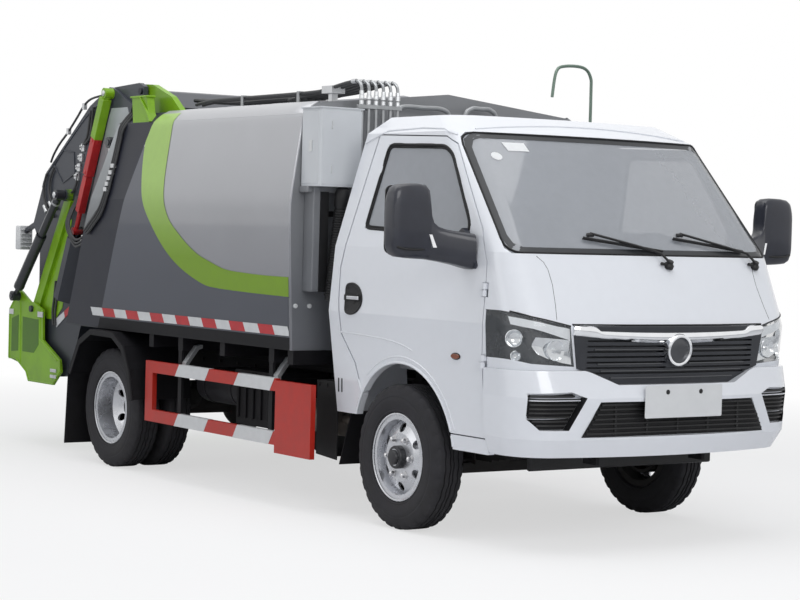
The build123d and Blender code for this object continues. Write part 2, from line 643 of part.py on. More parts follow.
# ---- subframe and refuse body ----
subframe_front_x = axle_x - 800.0
subframe_rear_x = axle_x - 3680.0
subframe = block(subframe_rear_x, subframe_front_x, 311, 373, rail_top_z + seat_gap, floor_z - seat_gap)
subframe += mirrored(subframe)
bearer_reach = 1000.0
bearer_short_reach = 600.0     # over the rear wheels
cross_bearer_x = (-900.0, -1100.0, -1650.0, -2150.0, -2520.0, -3050.0, -3600.0)
for xf in cross_bearer_x:
    reach = bearer_short_reach if xf < -2560 else bearer_reach
    subframe += block(axle_x + xf - 28, axle_x + xf + 28, -reach, reach, 792, floor_z - seat_gap)
nodes["body_subframe"] = subframe


def body_profile(inset):
    """Right half and left half of the refuse body's cross-section, moved in by inset."""
    half = [(body_bottom_half_width - inset, floor_z + 10), (body_half_width - inset, 1500),
            (body_half_width - inset, 1690), (body_shoulder_half_width - inset,
                                              body_shoulder_z - inset * 0.4),
            (body_roof_edge[0] - inset * 0.6, body_roof_edge[1] - inset)]
    low = floor_z + inset
    points = [(body_bottom_half_width - 6 - inset, low)] + [(y, max(z, low)) for y, z in half]
    points[1] = (points[1][0], floor_z + 10 + inset)
    top = body_roof_z - inset
    return points + [(0, top)] + [(-y, z) for y, z in reversed(points)]


def slant_zone(front_at_1500, rear_at_1500, y0, y1, low=400.0, high=2600.0):
    """Everything between two lines that lean with the tailgate joint."""
    return slab([(slant_x(front_at_1500, low), low), (slant_x(front_at_1500, high), high),
                 (slant_x(rear_at_1500, high), high), (slant_x(rear_at_1500, low), low)], y0, y1)


far_forward = body_front_x + 2000.0
body = panel(body_profile(0), axle_x - 3500, body_front_x)
body -= panel(body_profile(body_wall), axle_x - 3510, body_front_x - body_wall)
body = body & slant_zone(far_forward, panel_x_at_1500, -1200, 1200)
nodes["refuse_body"] = body

# Dark frame round the rear opening: a hollow post each side that takes the lift cylinder.
inner_post_y = 870.0
post_wall = 26.0
post_cavity_y = (900.0, 992.0)
ring = panel(body_profile(0), axle_x - 4000, body_front_x)
opening_outline = [(-inner_post_y, floor_z + body_wall), (inner_post_y, floor_z + body_wall),
                   (inner_post_y, 2204), (0, body_roof_z - body_wall), (-inner_post_y, 2204)]
ring -= panel(opening_outline, axle_x - 4010, body_front_x + 1)
for side in (1, -1):
    y_in, y_out = side * post_cavity_y[0], side * 1100
    skin = panel(body_profile(post_wall), axle_x - 4010, body_front_x + 1)
    skin = skin & block(axle_x - 4020, body_front_x + 2, y_in, y_out, 930, 2400)
    ring -= skin & slant_zone(panel_x_at_1500 - 40, joint_x_at_1500 - 100, -1200, 1200)
ring = ring & slant_zone(panel_x_at_1500 - seat_gap, joint_x_at_1500, -1200, 1200)
lift_base = (axle_x - 3420.0, 1060.0)
lift_pin_radius = 20.0
lift_centre_y = 945.0
for side in (1, -1):
    ring += disc_y(lift_base[0], lift_base[1], lift_pin_radius, side * 890, side * 1000)
# Root plates of the tailgate hinge, standing on the roof.
hinge_plate_y = (800.0, 840.0)
root_outline = [(-2500, 2230), (-2640, 2330), (-2880, 2412), (-2985, 2418), (-3012, 2372), (-3012, 2230)]
for side in (1, -1):
    plate = slab(ahead(root_outline), min(side * hinge_plate_y[0], side * hinge_plate_y[1]),
                 max(side * hinge_plate_y[0], side * hinge_plate_y[1]))
    plate -= panel(body_profile(0), axle_x - 4000, body_front_x)
    ring += plate
    ring += disc_y(tailgate_pivot[0], tailgate_pivot[1], tailgate_pin_radius, side * 800, side * 892)
    ring += slab(ahead([(-2700, 2225), (-2700, 2242), (-3012, 2242), (-3012, 2225)]),
                 min(side * 800, side * 840), max(side * 800, side * 840)) & slant_zone(
        panel_x_at_1500 - seat_gap, joint_x_at_1500, -1200, 1200)
nodes["body_rear_frame"] = ring

# ---- equipment on the body's front wall ----
wall_x = body_front_x + seat_gap
locker = block(wall_x, axle_x - 700, -1020, -730, 1767, 2190)
locker = fillet(locker.edges().filter_by(Axis.Z), 20)
locker += block(wall_x, axle_x - 780, -950, -850, 1195, 1768)
locker += block(wall_x, axle_x - 710, -840, -740, 1150, 1768)
equipment = [locker]
pipe_radius = 9.0
valve_block = block(wall_x, axle_x - 676, -730, -460, 1000, 1200)
for k in range(6):
    y = -716.0 + 47.4 * k
    valve_block += bar((axle_x - 690, y, 1190), (axle_x - 690, y, 2345), pipe_radius)
    reach = 2440.0 if k < 2 else 1500.0
    valve_block += Pos(axle_x - 690, y, 2345) * Sphere(pipe_radius)
    valve_block += bar((axle_x - 690, y, 2345), (axle_x - reach, y, 2345), pipe_radius)
valve_block += block(axle_x - 700, axle_x - 680, -740, -455, 2190, 2214)
valve_block += block(wall_x, axle_x - 690, -600, -575, 2190, 2214)
equipment.append(valve_block)
vent_x = axle_x - 800.0
vent_path = [(983, 1650), (983, 2463), (960, 2508), (917, 2531), (780, 2531), (730, 2515), (700, 2470),
             (690, 2345)]
vent = block(wall_x, vent_x, 972, 994, 1700, 1740)
for (y0, z0), (y1, z1) in zip(vent_path, vent_path[1:]):
    vent += bar((vent_x, y0, z0), (vent_x, y1, z1), pipe_radius)
    vent += Pos(vent_x, y0, z0) * Sphere(pipe_radius)
equipment.append(vent)
for y_low, y_high, z_top in ((-420.0, -45.0, 2245.0), (60.0, 287.0, 2260.0)):
    arch_path = [(y_low, 1900), (y_low, z_top - 60), (y_low + 50, z_top - 14), (y_high - 50, z_top - 14),
                 (y_high, z_top - 60), (y_high, 1900)]
    hose = block(wall_x, vent_x + 10, y_low - 20, y_high + 20, 1880, 1910)
    for (y0, z0), (y1, z1) in zip(arch_path, arch_path[1:]):
        hose += bar((vent_x, y0, z0), (vent_x, y1, z1), 14)
        hose += Pos(vent_x, y0, z0) * Sphere(14)
    equipment.append(hose)
nodes["body_front_equipment"] = Compound(children=equipment)

# ---- guards ----
wing_line = [(-3509, 569), (-3373, 782), (-3204, 860), (-2895, 856), (-2755, 782), (-2667, 641),
             (-2618, 460)]
wing_thickness = 8.0


def strip(line, thickness, y0, y1):
    """A bent plate that follows an (x, z) line, its thickness below the line."""
    shape = None
    for start, end in zip(line, line[1:]):
        piece = beam(start, end, thickness, y0, y1)
        shape = piece if shape is None else shape + piece
    for point in line[1:-1]:
        shape += disc_y(point[0], point[1], thickness / 2, y0, y1)
    return shape


wing_points = ahead(wing_line)
wing = strip(wing_points, wing_thickness, 660, 1080)
centre = (rear_axle_x, axle_z)
lip_line = [(x + (centre[0] - x) * 0.03, z + (centre[1] - z) * 0.03) for x, z in wing_points]
wing += strip(lip_line, 34.0, 1072, 1080)
wing += block(axle_x - 3078, axle_x - 3022, bearer_short_reach + seat_gap, 700, 792, 857)
flap_thickness = 8.0
rear_flap = slab(ahead([(-3513, 573), (-3513 - flap_thickness, 573), (-3550 - flap_thickness, 105),
                        (-3550, 105)]),
                 690, 1075)
flap_top_z = cab_rear_sill_z - seat_gap
front_flap = slab(ahead([(-505, flap_top_z), (-505 - flap_thickness, flap_top_z),
                         (-610 - flap_thickness, 270),
                         (-610, 270)]), 620, 850)
guards = [wing, rear_flap, front_flap]
nodes["mudguards"] = Compound(children=guards + [mirrored(g) for g in guards])

guard = block(axle_x - 2490, axle_x - 1000, 1000, 1030, 640, 710)
guard += block(axle_x - 2490, axle_x - 1000, 1000, 1030, 343, 416)
guard += block(axle_x - 2530, axle_x - 2440, 1000, 1030, 343, 710)
guard += block(axle_x - 1000.5, axle_x - 630, 1000, 1030, 300, 700)
for xf in (-1100.0, -2150.0):
    guard += block(axle_x + xf - 20, axle_x + xf + 20, 984, 1001, 343, 792 - seat_gap)
nodes["side_guards"] = Compound(children=[guard, mirrored(guard)])

# ---- tailgate ----
seal_gap = 6.6
TG = joint_x_at_1500 - seal_gap
hopper_centre = (axle_x - 4005.0, 900.0)
hopper_outer = hopper_radius + hopper_wall


def arc_points(centre, radius, from_deg, to_deg, steps):
    """Points on a circle, degrees from +X towards +Z."""
    out = []
    for k in range(steps + 1):
        turn = math.radians(from_deg + (to_deg - from_deg) * k / steps)
        out.append((centre[0] + radius * math.cos(turn), centre[1] + radius * math.sin(turn)))
    return out


hopper_arc = arc_points(hopper_centre, hopper_outer, 180, 285, 14)
roof_and_rear_line = [(-3300, 2400), (-3360, 2412), (-3640, 2300), (-4290, 1870), (-4480, 1520),
                      (-4365, 1380), (-4365, 960), (-4405, 960)]
side_outline = [(slant_x(TG, 2290), 2290)] + ahead(roof_and_rear_line)
side_outline += hopper_arc + [(slant_x(TG, 524), 524)]
plate_in_y = plate_outer_y - plate_thickness
slide_rest = (axle_x - 3815.0, 1308.0)          # sweep pivot with the slide up
slide_pin_up = 190.0
pin_rest = along_slant(slide_rest, -slide_pin_up)
pin_low = along_slant(pin_rest, slide_travel)
slide_pin_radius = 25.0
side_plate = slab(side_outline, plate_in_y, plate_outer_y)
slot = slab([(pin_rest[0] + 31 * slant_cos, pin_rest[1] - 31 * slant_sin),
             (pin_rest[0] - 31 * slant_cos, pin_rest[1] + 31 * slant_sin),
             (pin_low[0] - 31 * slant_cos, pin_low[1] + 31 * slant_sin),
             (pin_low[0] + 31 * slant_cos, pin_low[1] - 31 * slant_sin)],
            plate_in_y - 1, plate_outer_y + 1)
slot += disc_y(pin_rest[0], pin_rest[1], 31, plate_in_y - 1, plate_outer_y + 1)
slot += disc_y(pin_low[0], pin_low[1], 31, plate_in_y - 1, plate_outer_y + 1)
side_plate -= slot
# Hinge arm, lift lug and cylinder pins on each side plate.
hinge_arm = slab(ahead([(-2925, 2345), (-2925, 2400), (-2990, 2425), (-3330, 2411), (-3330, 2300),
                        (-3060, 2300),
                        (-2990, 2330)]), 850, 880)
side_plate += hinge_arm
side_plate -= disc_y(tailgate_pivot[0], tailgate_pivot[1], tailgate_pin_radius + running_clearance, 840,
                     890)
lift_lug = (axle_x - 3215.0, 2050.0)
side_plate += disc_y(lift_lug[0], lift_lug[1], 34, 890, 905)
bucket_anchor = (axle_x - 3900.0, 1716.0)
bucket_cylinder_y = 985.0
side_plate += disc_y(bucket_anchor[0], bucket_anchor[1], 40, 890, 949)
side_plate += disc_y(bucket_anchor[0], bucket_anchor[1], lift_pin_radius, 890, 1020)
bucket_pivot = (axle_x - 4370.0, 940.0)
bucket_pin_radius = 22.0
outer_beam = beam((bucket_anchor[0] + 20, 1700), (bucket_pivot[0] - 8, bucket_pivot[1] - 12), 90,
                  plate_outer_y,
                  925)
outer_beam += disc_y(bucket_pivot[0], bucket_pivot[1], 45, plate_outer_y - 2, 925)
side_plate += outer_beam & block(axle_x - 5000, axle_x, plate_outer_y - 1, 930, 400, 1680)
side_plate += disc_y(bucket_pivot[0], bucket_pivot[1], bucket_pin_radius, 890, 962)
cover_line = [side_outline[0], side_outline[1], side_outline[2], side_outline[3], side_outline[4],
              side_outline[5]]
cover = None
for start, end in zip(cover_line, cover_line[1:]):
    dx, dz = end[0] - start[0], end[1] - start[1]
    size = math.hypot(dx, dz)
    nx, nz = dz / size * 25.0, -dx / size * 25.0
    if nz > 0:
        nx, nz = -nx, -nz
    piece = slab([start, end, (end[0] + nx, end[1] + nz), (start[0] + nx, start[1] + nz)],
                 -plate_in_y - 1,
                 plate_in_y + 1)
    cover = piece if cover is None else cover + piece
for point in cover_line[1:-1]:
    cover += disc_y(point[0], point[1], 24, -plate_in_y - 1, plate_in_y + 1) & slab(
        side_outline, -plate_in_y - 2, plate_in_y + 2)
shell = side_plate + mirrored(side_plate) + cover
# Work lamp on a short arm, right rear.
shell += beam((axle_x - 4460, 1535), (axle_x - 4690, 1462), 26, -880, -850)
shell += block(axle_x - 4745, axle_x - 4680, -905, -825, 1425, 1500)
nodes["tailgate_shell"] = shell

tub_half = plate_in_y - seat_gap
outer = arc_points(hopper_centre, hopper_outer, 180, 285, 14)
inner = arc_points(hopper_centre, hopper_radius, 180, 285, 14)
sill_z = 860.0
front_low = inner[-1]
tub_outline = outer + [(slant_x(TG - 8, 524), 524), (slant_x(TG - 8, sill_z), sill_z),
                       (slant_x(TG - 8, sill_z) - 24, sill_z)]
tub_outline += [(front_low[0] + 6, front_low[1] + 2)] + list(reversed(inner))
tub_outline += [(inner[0][0], 955), (outer[0][0], 955)]
nodes["hopper_tub"] = slab(tub_outline, -tub_half, tub_half)

# ---- packer ----
top_end = along_slant(slide_rest, -750.0)
slide = beam((slide_rest[0] + 60 * slant_sin, slide_rest[1] + 60 * slant_cos), top_end, 70,
             -packer_half_width + 4, packer_half_width - 4)
sweep_boss = 42.0
sweep_pin_radius = 22.0
for y in (-700, -240, 240, 700):
    slide += disc_y(slide_rest[0], slide_rest[1], sweep_boss, y - 20, y + 20)
    slide += beam(slide_rest, (slide_rest[0] + 80 * slant_sin, slide_rest[1] + 80 * slant_cos), 70,
                  y - 20, y + 20)
slide += disc_y(slide_rest[0], slide_rest[1], sweep_pin_radius, -860, 860)
slide_cylinder_y = 937.0
for side in (1, -1):
    slide += disc_y(pin_rest[0], pin_rest[1], slide_pin_radius, side * (packer_half_width - 30),
                    side * 962)
    rod_top = along_slant(pin_rest, -(slide_travel + 450))
    slide += bar((pin_rest[0], side * slide_cylinder_y, pin_rest[1]),
                 (rod_top[0], side * slide_cylinder_y, rod_top[1]), 16)
nodes["packer_slide"] = slide

sweep_rest_deg = 283.0
turn = math.radians(sweep_rest_deg)
sweep_dir = (math.cos(turn), math.sin(turn))
sweep_tip = (slide_rest[0] + sweep_dir[0] * (sweep_length - 3),
             slide_rest[1] + sweep_dir[1] * (sweep_length - 3))
sweep_root = (slide_rest[0] + sweep_dir[0] * 52, slide_rest[1] + sweep_dir[1] * 52)
sweep = beam(sweep_root, sweep_tip, 50, -packer_half_width + 4, packer_half_width - 4)
for y in (-780, -480, -60, 60, 480, 780):
    sweep += disc_y(slide_rest[0], slide_rest[1], sweep_boss, y - 34, y + 34)
    sweep += beam(slide_rest, (slide_rest[0] + sweep_dir[0] * 70, slide_rest[1] + sweep_dir[1] * 70), 50,
                  y - 34, y + 34)
    sweep -= disc_y(slide_rest[0], slide_rest[1], sweep_pin_radius + running_clearance, y - 40, y + 40)
nodes["sweep_panel"] = sweep

slide_cylinder_radius = 28.0
cylinder_top = along_slant(pin_rest, -980.0)
cylinder_low = along_slant(pin_rest, -(slide_travel - 50))
barrels = []
for side in (1, -1):
    y = side * slide_cylinder_y
    barrel = bar((cylinder_top[0], y, cylinder_top[1]), (cylinder_low[0], y, cylinder_low[1]),
                 slide_cylinder_radius)
    bore_top = along_slant(pin_rest, -930.0)
    bore_low = along_slant(pin_rest, -(slide_travel - 52))
    barrel -= bar((bore_top[0], y, bore_top[1]), (bore_low[0], y, bore_low[1]), 16 + running_clearance)
    barrel += disc_y(cylinder_top[0], cylinder_top[1], 34, side * (plate_outer_y + seat_gap), side * 962)
    clamp = along_slant(cylinder_low, -90)
    barrel += disc_y(clamp[0], clamp[1], 12, side * (plate_outer_y + seat_gap), side * 912)
    barrels.append(barrel)
nodes["slide_cylinders"] = Compound(children=barrels)

# ---- loading bucket ----
bucket_plate_y = (931.0, 946.0)
bucket_side = ahead([
    (-4745, 925), (-4610, 1045), (-4570, 1060), (-4530, 1045), (-4400, 985), (-4340, 985), (-4199, 939),
    (-4189, 736), (-3918, 618), (-3898, 539), (-4017, 443), (-4416, 441), (-4452, 500), (-4621, 578),
    (-4745, 577)])
trough_outer = ahead([(-4420, 925), (-4404, 565), (-4452, 500), (-4621, 560), (-4745, 577), (-4745, 925)])
trough_inner = ahead([(-4433, 990), (-4416, 572), (-4456, 515), (-4618, 573), (-4733, 589), (-4733, 990)])
bucket_reach = 931.0
trough = slab(trough_outer, -bucket_reach - 1, bucket_reach + 1) - slab(trough_inner, -880, 880)
for side in (1, -1):
    near_pin = disc_y(bucket_pivot[0], bucket_pivot[1], 96, side * 893, side * 930.9)
    trough -= near_pin
bucket = trough
for side in (1, -1):
    low, high = sorted((side * bucket_plate_y[0], side * bucket_plate_y[1]))
    plate = slab(bucket_side, low, high)
    plate -= disc_y(bucket_pivot[0], bucket_pivot[1], bucket_pin_radius + running_clearance, low - 2,
                    high + 2)
    bucket += plate
bucket_lug = (axle_x - 4570.0, 1020.0)
for side in (1, -1):
    bucket += disc_y(bucket_lug[0], bucket_lug[1], 30, side * 940, side * 950)
nodes["loading_bucket"] = bucket


# ---- lift and bucket cylinders ----
def cylinder_pair(base, eye, y, barrel_radius, rod_radius, barrel_share, eye_radius, half_width,
                  rod_inside):
    """A barrel from its base pin and a rod out to its eye, closed."""
    dx, dz = eye[0] - base[0], eye[1] - base[1]
    length = math.hypot(dx, dz)
    ux, uz = dx / length, dz / length

    def at(distance):
        return (base[0] + ux * distance, y, base[1] + uz * distance)

    def pinned(point):
        return disc_y(point[0], point[1], eye_radius, y - half_width, y + half_width)

    def bore(point):
        return disc_y(point[0], point[1], lift_pin_radius + running_clearance, y - half_width - 1,
                      y + half_width + 1)

    barrel = pinned(base) + bar(at(eye_radius - 6), at(length * barrel_share), barrel_radius)
    barrel -= bar(at(eye_radius + 14), at(length * barrel_share + 1), rod_radius + running_clearance)
    barrel -= bore(base)
    rod = bar(at(length * rod_inside), at(length - eye_radius + 6), rod_radius) + pinned(eye)
    rod += disc_y(eye[0], eye[1], lift_pin_radius, y, y + half_width + 6)
    return barrel, rod


lift_barrel, lift_rod = cylinder_pair(lift_base, lift_lug, lift_centre_y, 31.0, 20.0, 0.86, 36.0, 33.0,
                                      0.12)
nodes["lift_barrels"] = Compound(children=[lift_barrel, mirrored(lift_barrel)])
nodes["lift_rods"] = Compound(children=[lift_rod, mirrored(lift_rod)])
barrel, rod = cylinder_pair(bucket_anchor, bucket_lug, bucket_cylinder_y, 26.0, 16.0, 0.60, 34.0, 28.0,
                            0.36)
nodes["bucket_barrels"] = Compound(children=[barrel, mirrored(barrel)])
nodes["bucket_rods"] = Compound(children=[rod, mirrored(rod)])

# ---- right-hand twins of the left-hand pieces ----
for name in [n for n in nodes if n.endswith("_left")]:
    nodes[name[:-5] + "_right"] = mirrored(nodes[name])

os.makedirs("parts", exist_ok=True)
for name, shape in nodes.items():
    export_step(shape, "parts/" + name + ".step")
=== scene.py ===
import math
import bmesh
import bpy
from mathutils import Matrix, Vector
from mathutils.bvhtree import BVHTree


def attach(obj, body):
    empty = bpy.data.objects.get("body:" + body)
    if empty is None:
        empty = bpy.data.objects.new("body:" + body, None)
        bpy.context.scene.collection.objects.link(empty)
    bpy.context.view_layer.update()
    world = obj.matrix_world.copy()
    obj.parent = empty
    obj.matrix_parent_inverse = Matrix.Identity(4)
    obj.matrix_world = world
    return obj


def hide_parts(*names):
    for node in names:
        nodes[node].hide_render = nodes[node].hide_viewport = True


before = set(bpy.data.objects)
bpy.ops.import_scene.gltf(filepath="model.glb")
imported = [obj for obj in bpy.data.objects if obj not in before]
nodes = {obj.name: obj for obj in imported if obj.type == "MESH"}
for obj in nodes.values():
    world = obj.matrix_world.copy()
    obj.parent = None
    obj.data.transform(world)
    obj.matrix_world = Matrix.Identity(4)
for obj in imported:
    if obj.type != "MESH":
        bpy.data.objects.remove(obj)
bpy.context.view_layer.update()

scene = bpy.context.scene
scene.view_settings.view_transform = "Standard"

# The studio. A camera stands low and well ahead of the truck's right front corner, so that
# the cab's face and the long right side both show; the light is that of an overcast sky.
front_axle_x = 1.785
rear_axle_x = -1.275


def ahead(x):
    """A place given from the front axle, forward."""
    return front_axle_x + x


camera_data = bpy.data.cameras.new("studio_camera")
camera_data.sensor_width = 36.0
camera_data.lens = 94.55
camera_data.clip_end = 200.0
camera = bpy.data.objects.new("studio_camera", camera_data)
scene.collection.objects.link(camera)
scene.camera = camera
yaw, pitch, roll = (math.radians(angle) for angle in (34.52, 1.89, 1.53))
forward = Vector((-math.cos(yaw) * math.cos(pitch), math.sin(yaw) * math.cos(pitch), -math.sin(pitch)))
level_right = forward.cross(Vector((0, 0, 1))).normalized()
level_up = level_right.cross(forward)
rolled_right = level_right * math.cos(roll) + level_up * math.sin(roll)
rolled_up = level_up * math.cos(roll) - level_right * math.sin(roll)
turn = Matrix((rolled_right, rolled_up, -forward)).transposed().to_4x4()
camera.matrix_world = Matrix.Translation((ahead(8.88), -7.01, 1.54)) @ turn


def join(tree, source, target):
    tree.links.new(source, target)


def added(tree, kind, operation=None, **values):
    """A new shader node, with its inputs set by their names."""
    node = tree.nodes.new("ShaderNode" + kind)
    if operation:
        node.operation = operation
    for name, value in values.items():
        node.inputs[name.replace("_", " ")].default_value = value
    return node


world = bpy.data.worlds.new("overcast_sky")
scene.world = world
world.use_nodes = True
tree = world.node_tree
tree.nodes.clear()
sky_output = added(tree, "OutputWorld")
ray = added(tree, "LightPath")
first_max = added(tree, "Math", "MAXIMUM")
second_max = added(tree, "Math", "MAXIMUM")
join(tree, ray.outputs["Is Camera Ray"], first_max.inputs[0])
join(tree, ray.outputs["Is Glossy Ray"], first_max.inputs[1])
join(tree, first_max.outputs[0], second_max.inputs[0])
join(tree, ray.outputs["Is Transmission Ray"], second_max.inputs[1])
sky_light = added(tree, "Background", Color=(0.93, 0.96, 1.0, 1), Strength=0.46)
sky_seen = added(tree, "Background", Color=(1, 1, 1, 1), Strength=1.0)
sky_mix = added(tree, "MixShader")
join(tree, second_max.outputs[0], sky_mix.inputs[0])
join(tree, sky_light.outputs[0], sky_mix.inputs[1])
join(tree, sky_seen.outputs[0], sky_mix.inputs[2])
join(tree, sky_mix.outputs[0], sky_output.inputs[0])


def soft_lamp(name, place, aim, size, power):
    """A large soft lamp at a place, turned towards a point on the truck."""
    data = bpy.data.lights.new(name, "AREA")
    data.shape = "RECTANGLE"
    data.size, data.size_y = size
    data.energy = power
    lamp = bpy.data.objects.new(name, data)
    scene.collection.objects.link(lamp)
    lamp.location = place
    lamp.rotation_mode = "QUATERNION"
    lamp.rotation_quaternion = (Vector(aim) - Vector(place)).to_track_quat("-Z", "Y")


soft_lamp("overhead_lamp", (1.0, -1.5, 7.5), (0, 0, 1), (9, 6), 330)
soft_lamp("front_lamp", (9.5, -2.5, 4.5), (1.5, 0, 1.2), (4, 3), 185)
soft_lamp("side_lamp", (-1.5, -9.0, 4.0), (0, 0, 1.2), (6, 3), 50)

floor_mesh = bpy.data.meshes.new("studio_floor")
floor_mesh.from_pydata([(-60, -60, 0), (60, -60, 0), (60, 60, 0), (-60, 60, 0)], [], [(0, 1, 2, 3)])
floor = bpy.data.objects.new("studio_floor", floor_mesh)
scene.collection.objects.link(floor)
floor.location.z = -0.001
pale_floor = bpy.data.materials.new("pale_floor")
pale_floor.use_nodes = True
floor_mesh.materials.append(pale_floor)
tree = pale_floor.node_tree
tree.nodes.clear()
floor_output = added(tree, "OutputMaterial")
ray = added(tree, "LightPath")
matt = added(tree, "BsdfDiffuse", Color=(0.82, 0.82, 0.83, 1))
bright = added(tree, "Emission", Strength=1.0)
share = added(tree, "Math", "MULTIPLY")
join(tree, ray.outputs["Is Camera Ray"], share.inputs[0])
place = added(tree, "TexCoord")
from_truck = added(tree, "VectorMath", "LENGTH")
join(tree, place.outputs["Object"], from_truck.inputs[0])
fading = added(tree, "MapRange", From_Min=3.5, From_Max=9.0, To_Min=0.62, To_Max=1.0)
join(tree, from_truck.outputs["Value"], fading.inputs["Value"])
join(tree, fading.outputs["Result"], share.inputs[1])
shadow_part = added(tree, "MixShader")
join(tree, share.outputs[0], shadow_part.inputs[0])
join(tree, matt.outputs[0], shadow_part.inputs[1])
join(tree, bright.outputs[0], shadow_part.inputs[2])
join(tree, shadow_part.outputs[0], floor_output.inputs[0])

# Tyres. Six radial road tyres of black rubber, each with five tread ribs and cut shoulders;
# they are vulcanised in one piece, and the rear ones stand in pairs on one hub.
truck_parts = bpy.data.collections.new("truck_parts")
scene.collection.children.link(truck_parts)


def surface(name, colour, rough=0.5, metal=0.0, coat=0.0, mottle=0.06, mottle_scale=18.0, grain=0.0,
            grain_scale=200.0, grime=0.0, coat_rough=0.06, glow=0.0, gloss=0.5):
    """A finish whose colour drifts a little, with a grain that catches the light and road dirt low down."""
    made = bpy.data.materials.new(name)
    made.use_nodes = True
    tree = made.node_tree
    shader = tree.nodes["Principled BSDF"]
    shader.inputs["Metallic"].default_value = metal
    shader.inputs["Coat Weight"].default_value = coat
    shader.inputs["Coat Roughness"].default_value = coat_rough
    shader.inputs["Specular IOR Level"].default_value = gloss
    place = added(tree, "TexCoord")
    drift = added(tree, "TexNoise", Scale=mottle_scale, Detail=6.0)
    join(tree, place.outputs["Object"], drift.inputs["Vector"])
    tone = added(tree, "MapRange", From_Min=0.3, From_Max=0.7, To_Min=1.0 - mottle, To_Max=1.0 + mottle)
    join(tree, drift.outputs["Fac"], tone.inputs["Value"])
    tinted = added(tree, "VectorMath", "SCALE")
    tinted.inputs[0].default_value = colour
    join(tree, tone.outputs["Result"], tinted.inputs["Scale"])
    coloured = tinted.outputs["Vector"]
    if grime > 0:
        axes = added(tree, "SeparateXYZ")
        join(tree, place.outputs["Object"], axes.inputs[0])
        low = added(tree, "MapRange", From_Min=0.15, From_Max=1.1, To_Min=grime, To_Max=0.0)
        join(tree, axes.outputs["Z"], low.inputs["Value"])
        patches = added(tree, "TexNoise", Scale=5.0, Detail=8.0)
        join(tree, place.outputs["Object"], patches.inputs["Vector"])
        amount = added(tree, "Math", "MULTIPLY")
        join(tree, low.outputs["Result"], amount.inputs[0])
        join(tree, patches.outputs["Fac"], amount.inputs[1])
        dusty = added(tree, "Mix")
        dusty.data_type = "RGBA"
        dusty.inputs["B"].default_value = (0.20, 0.185, 0.165, 1)
        join(tree, amount.outputs[0], dusty.inputs["Factor"])
        join(tree, coloured, dusty.inputs["A"])
        coloured = dusty.outputs["Result"]
    join(tree, coloured, shader.inputs["Base Color"])
    smear = added(tree, "MapRange", To_Min=max(0.02, rough - 0.06), To_Max=min(1.0, rough + 0.08))
    join(tree, drift.outputs["Fac"], smear.inputs["Value"])
    join(tree, smear.outputs["Result"], shader.inputs["Roughness"])
    if grain > 0:
        pores = added(tree, "TexNoise", Scale=grain_scale, Detail=3.0)
        join(tree, place.outputs["Object"], pores.inputs["Vector"])
        relief = added(tree, "Bump", Strength=grain, Distance=0.002)
        join(tree, pores.outputs["Fac"], relief.inputs["Height"])
        join(tree, relief.outputs["Normal"], shader.inputs["Normal"])
    if glow > 0:
        shader.inputs["Emission Color"].default_value = (*colour, 1)
        shader.inputs["Emission Strength"].default_value = glow
    return made


def dress(finish, *names):
    """Gives CAD nodes their finish."""
    for name in names:
        nodes[name].data.materials.clear()
        nodes[name].data.materials.append(finish)


def both(name):
    return name + "_left", name + "_right"


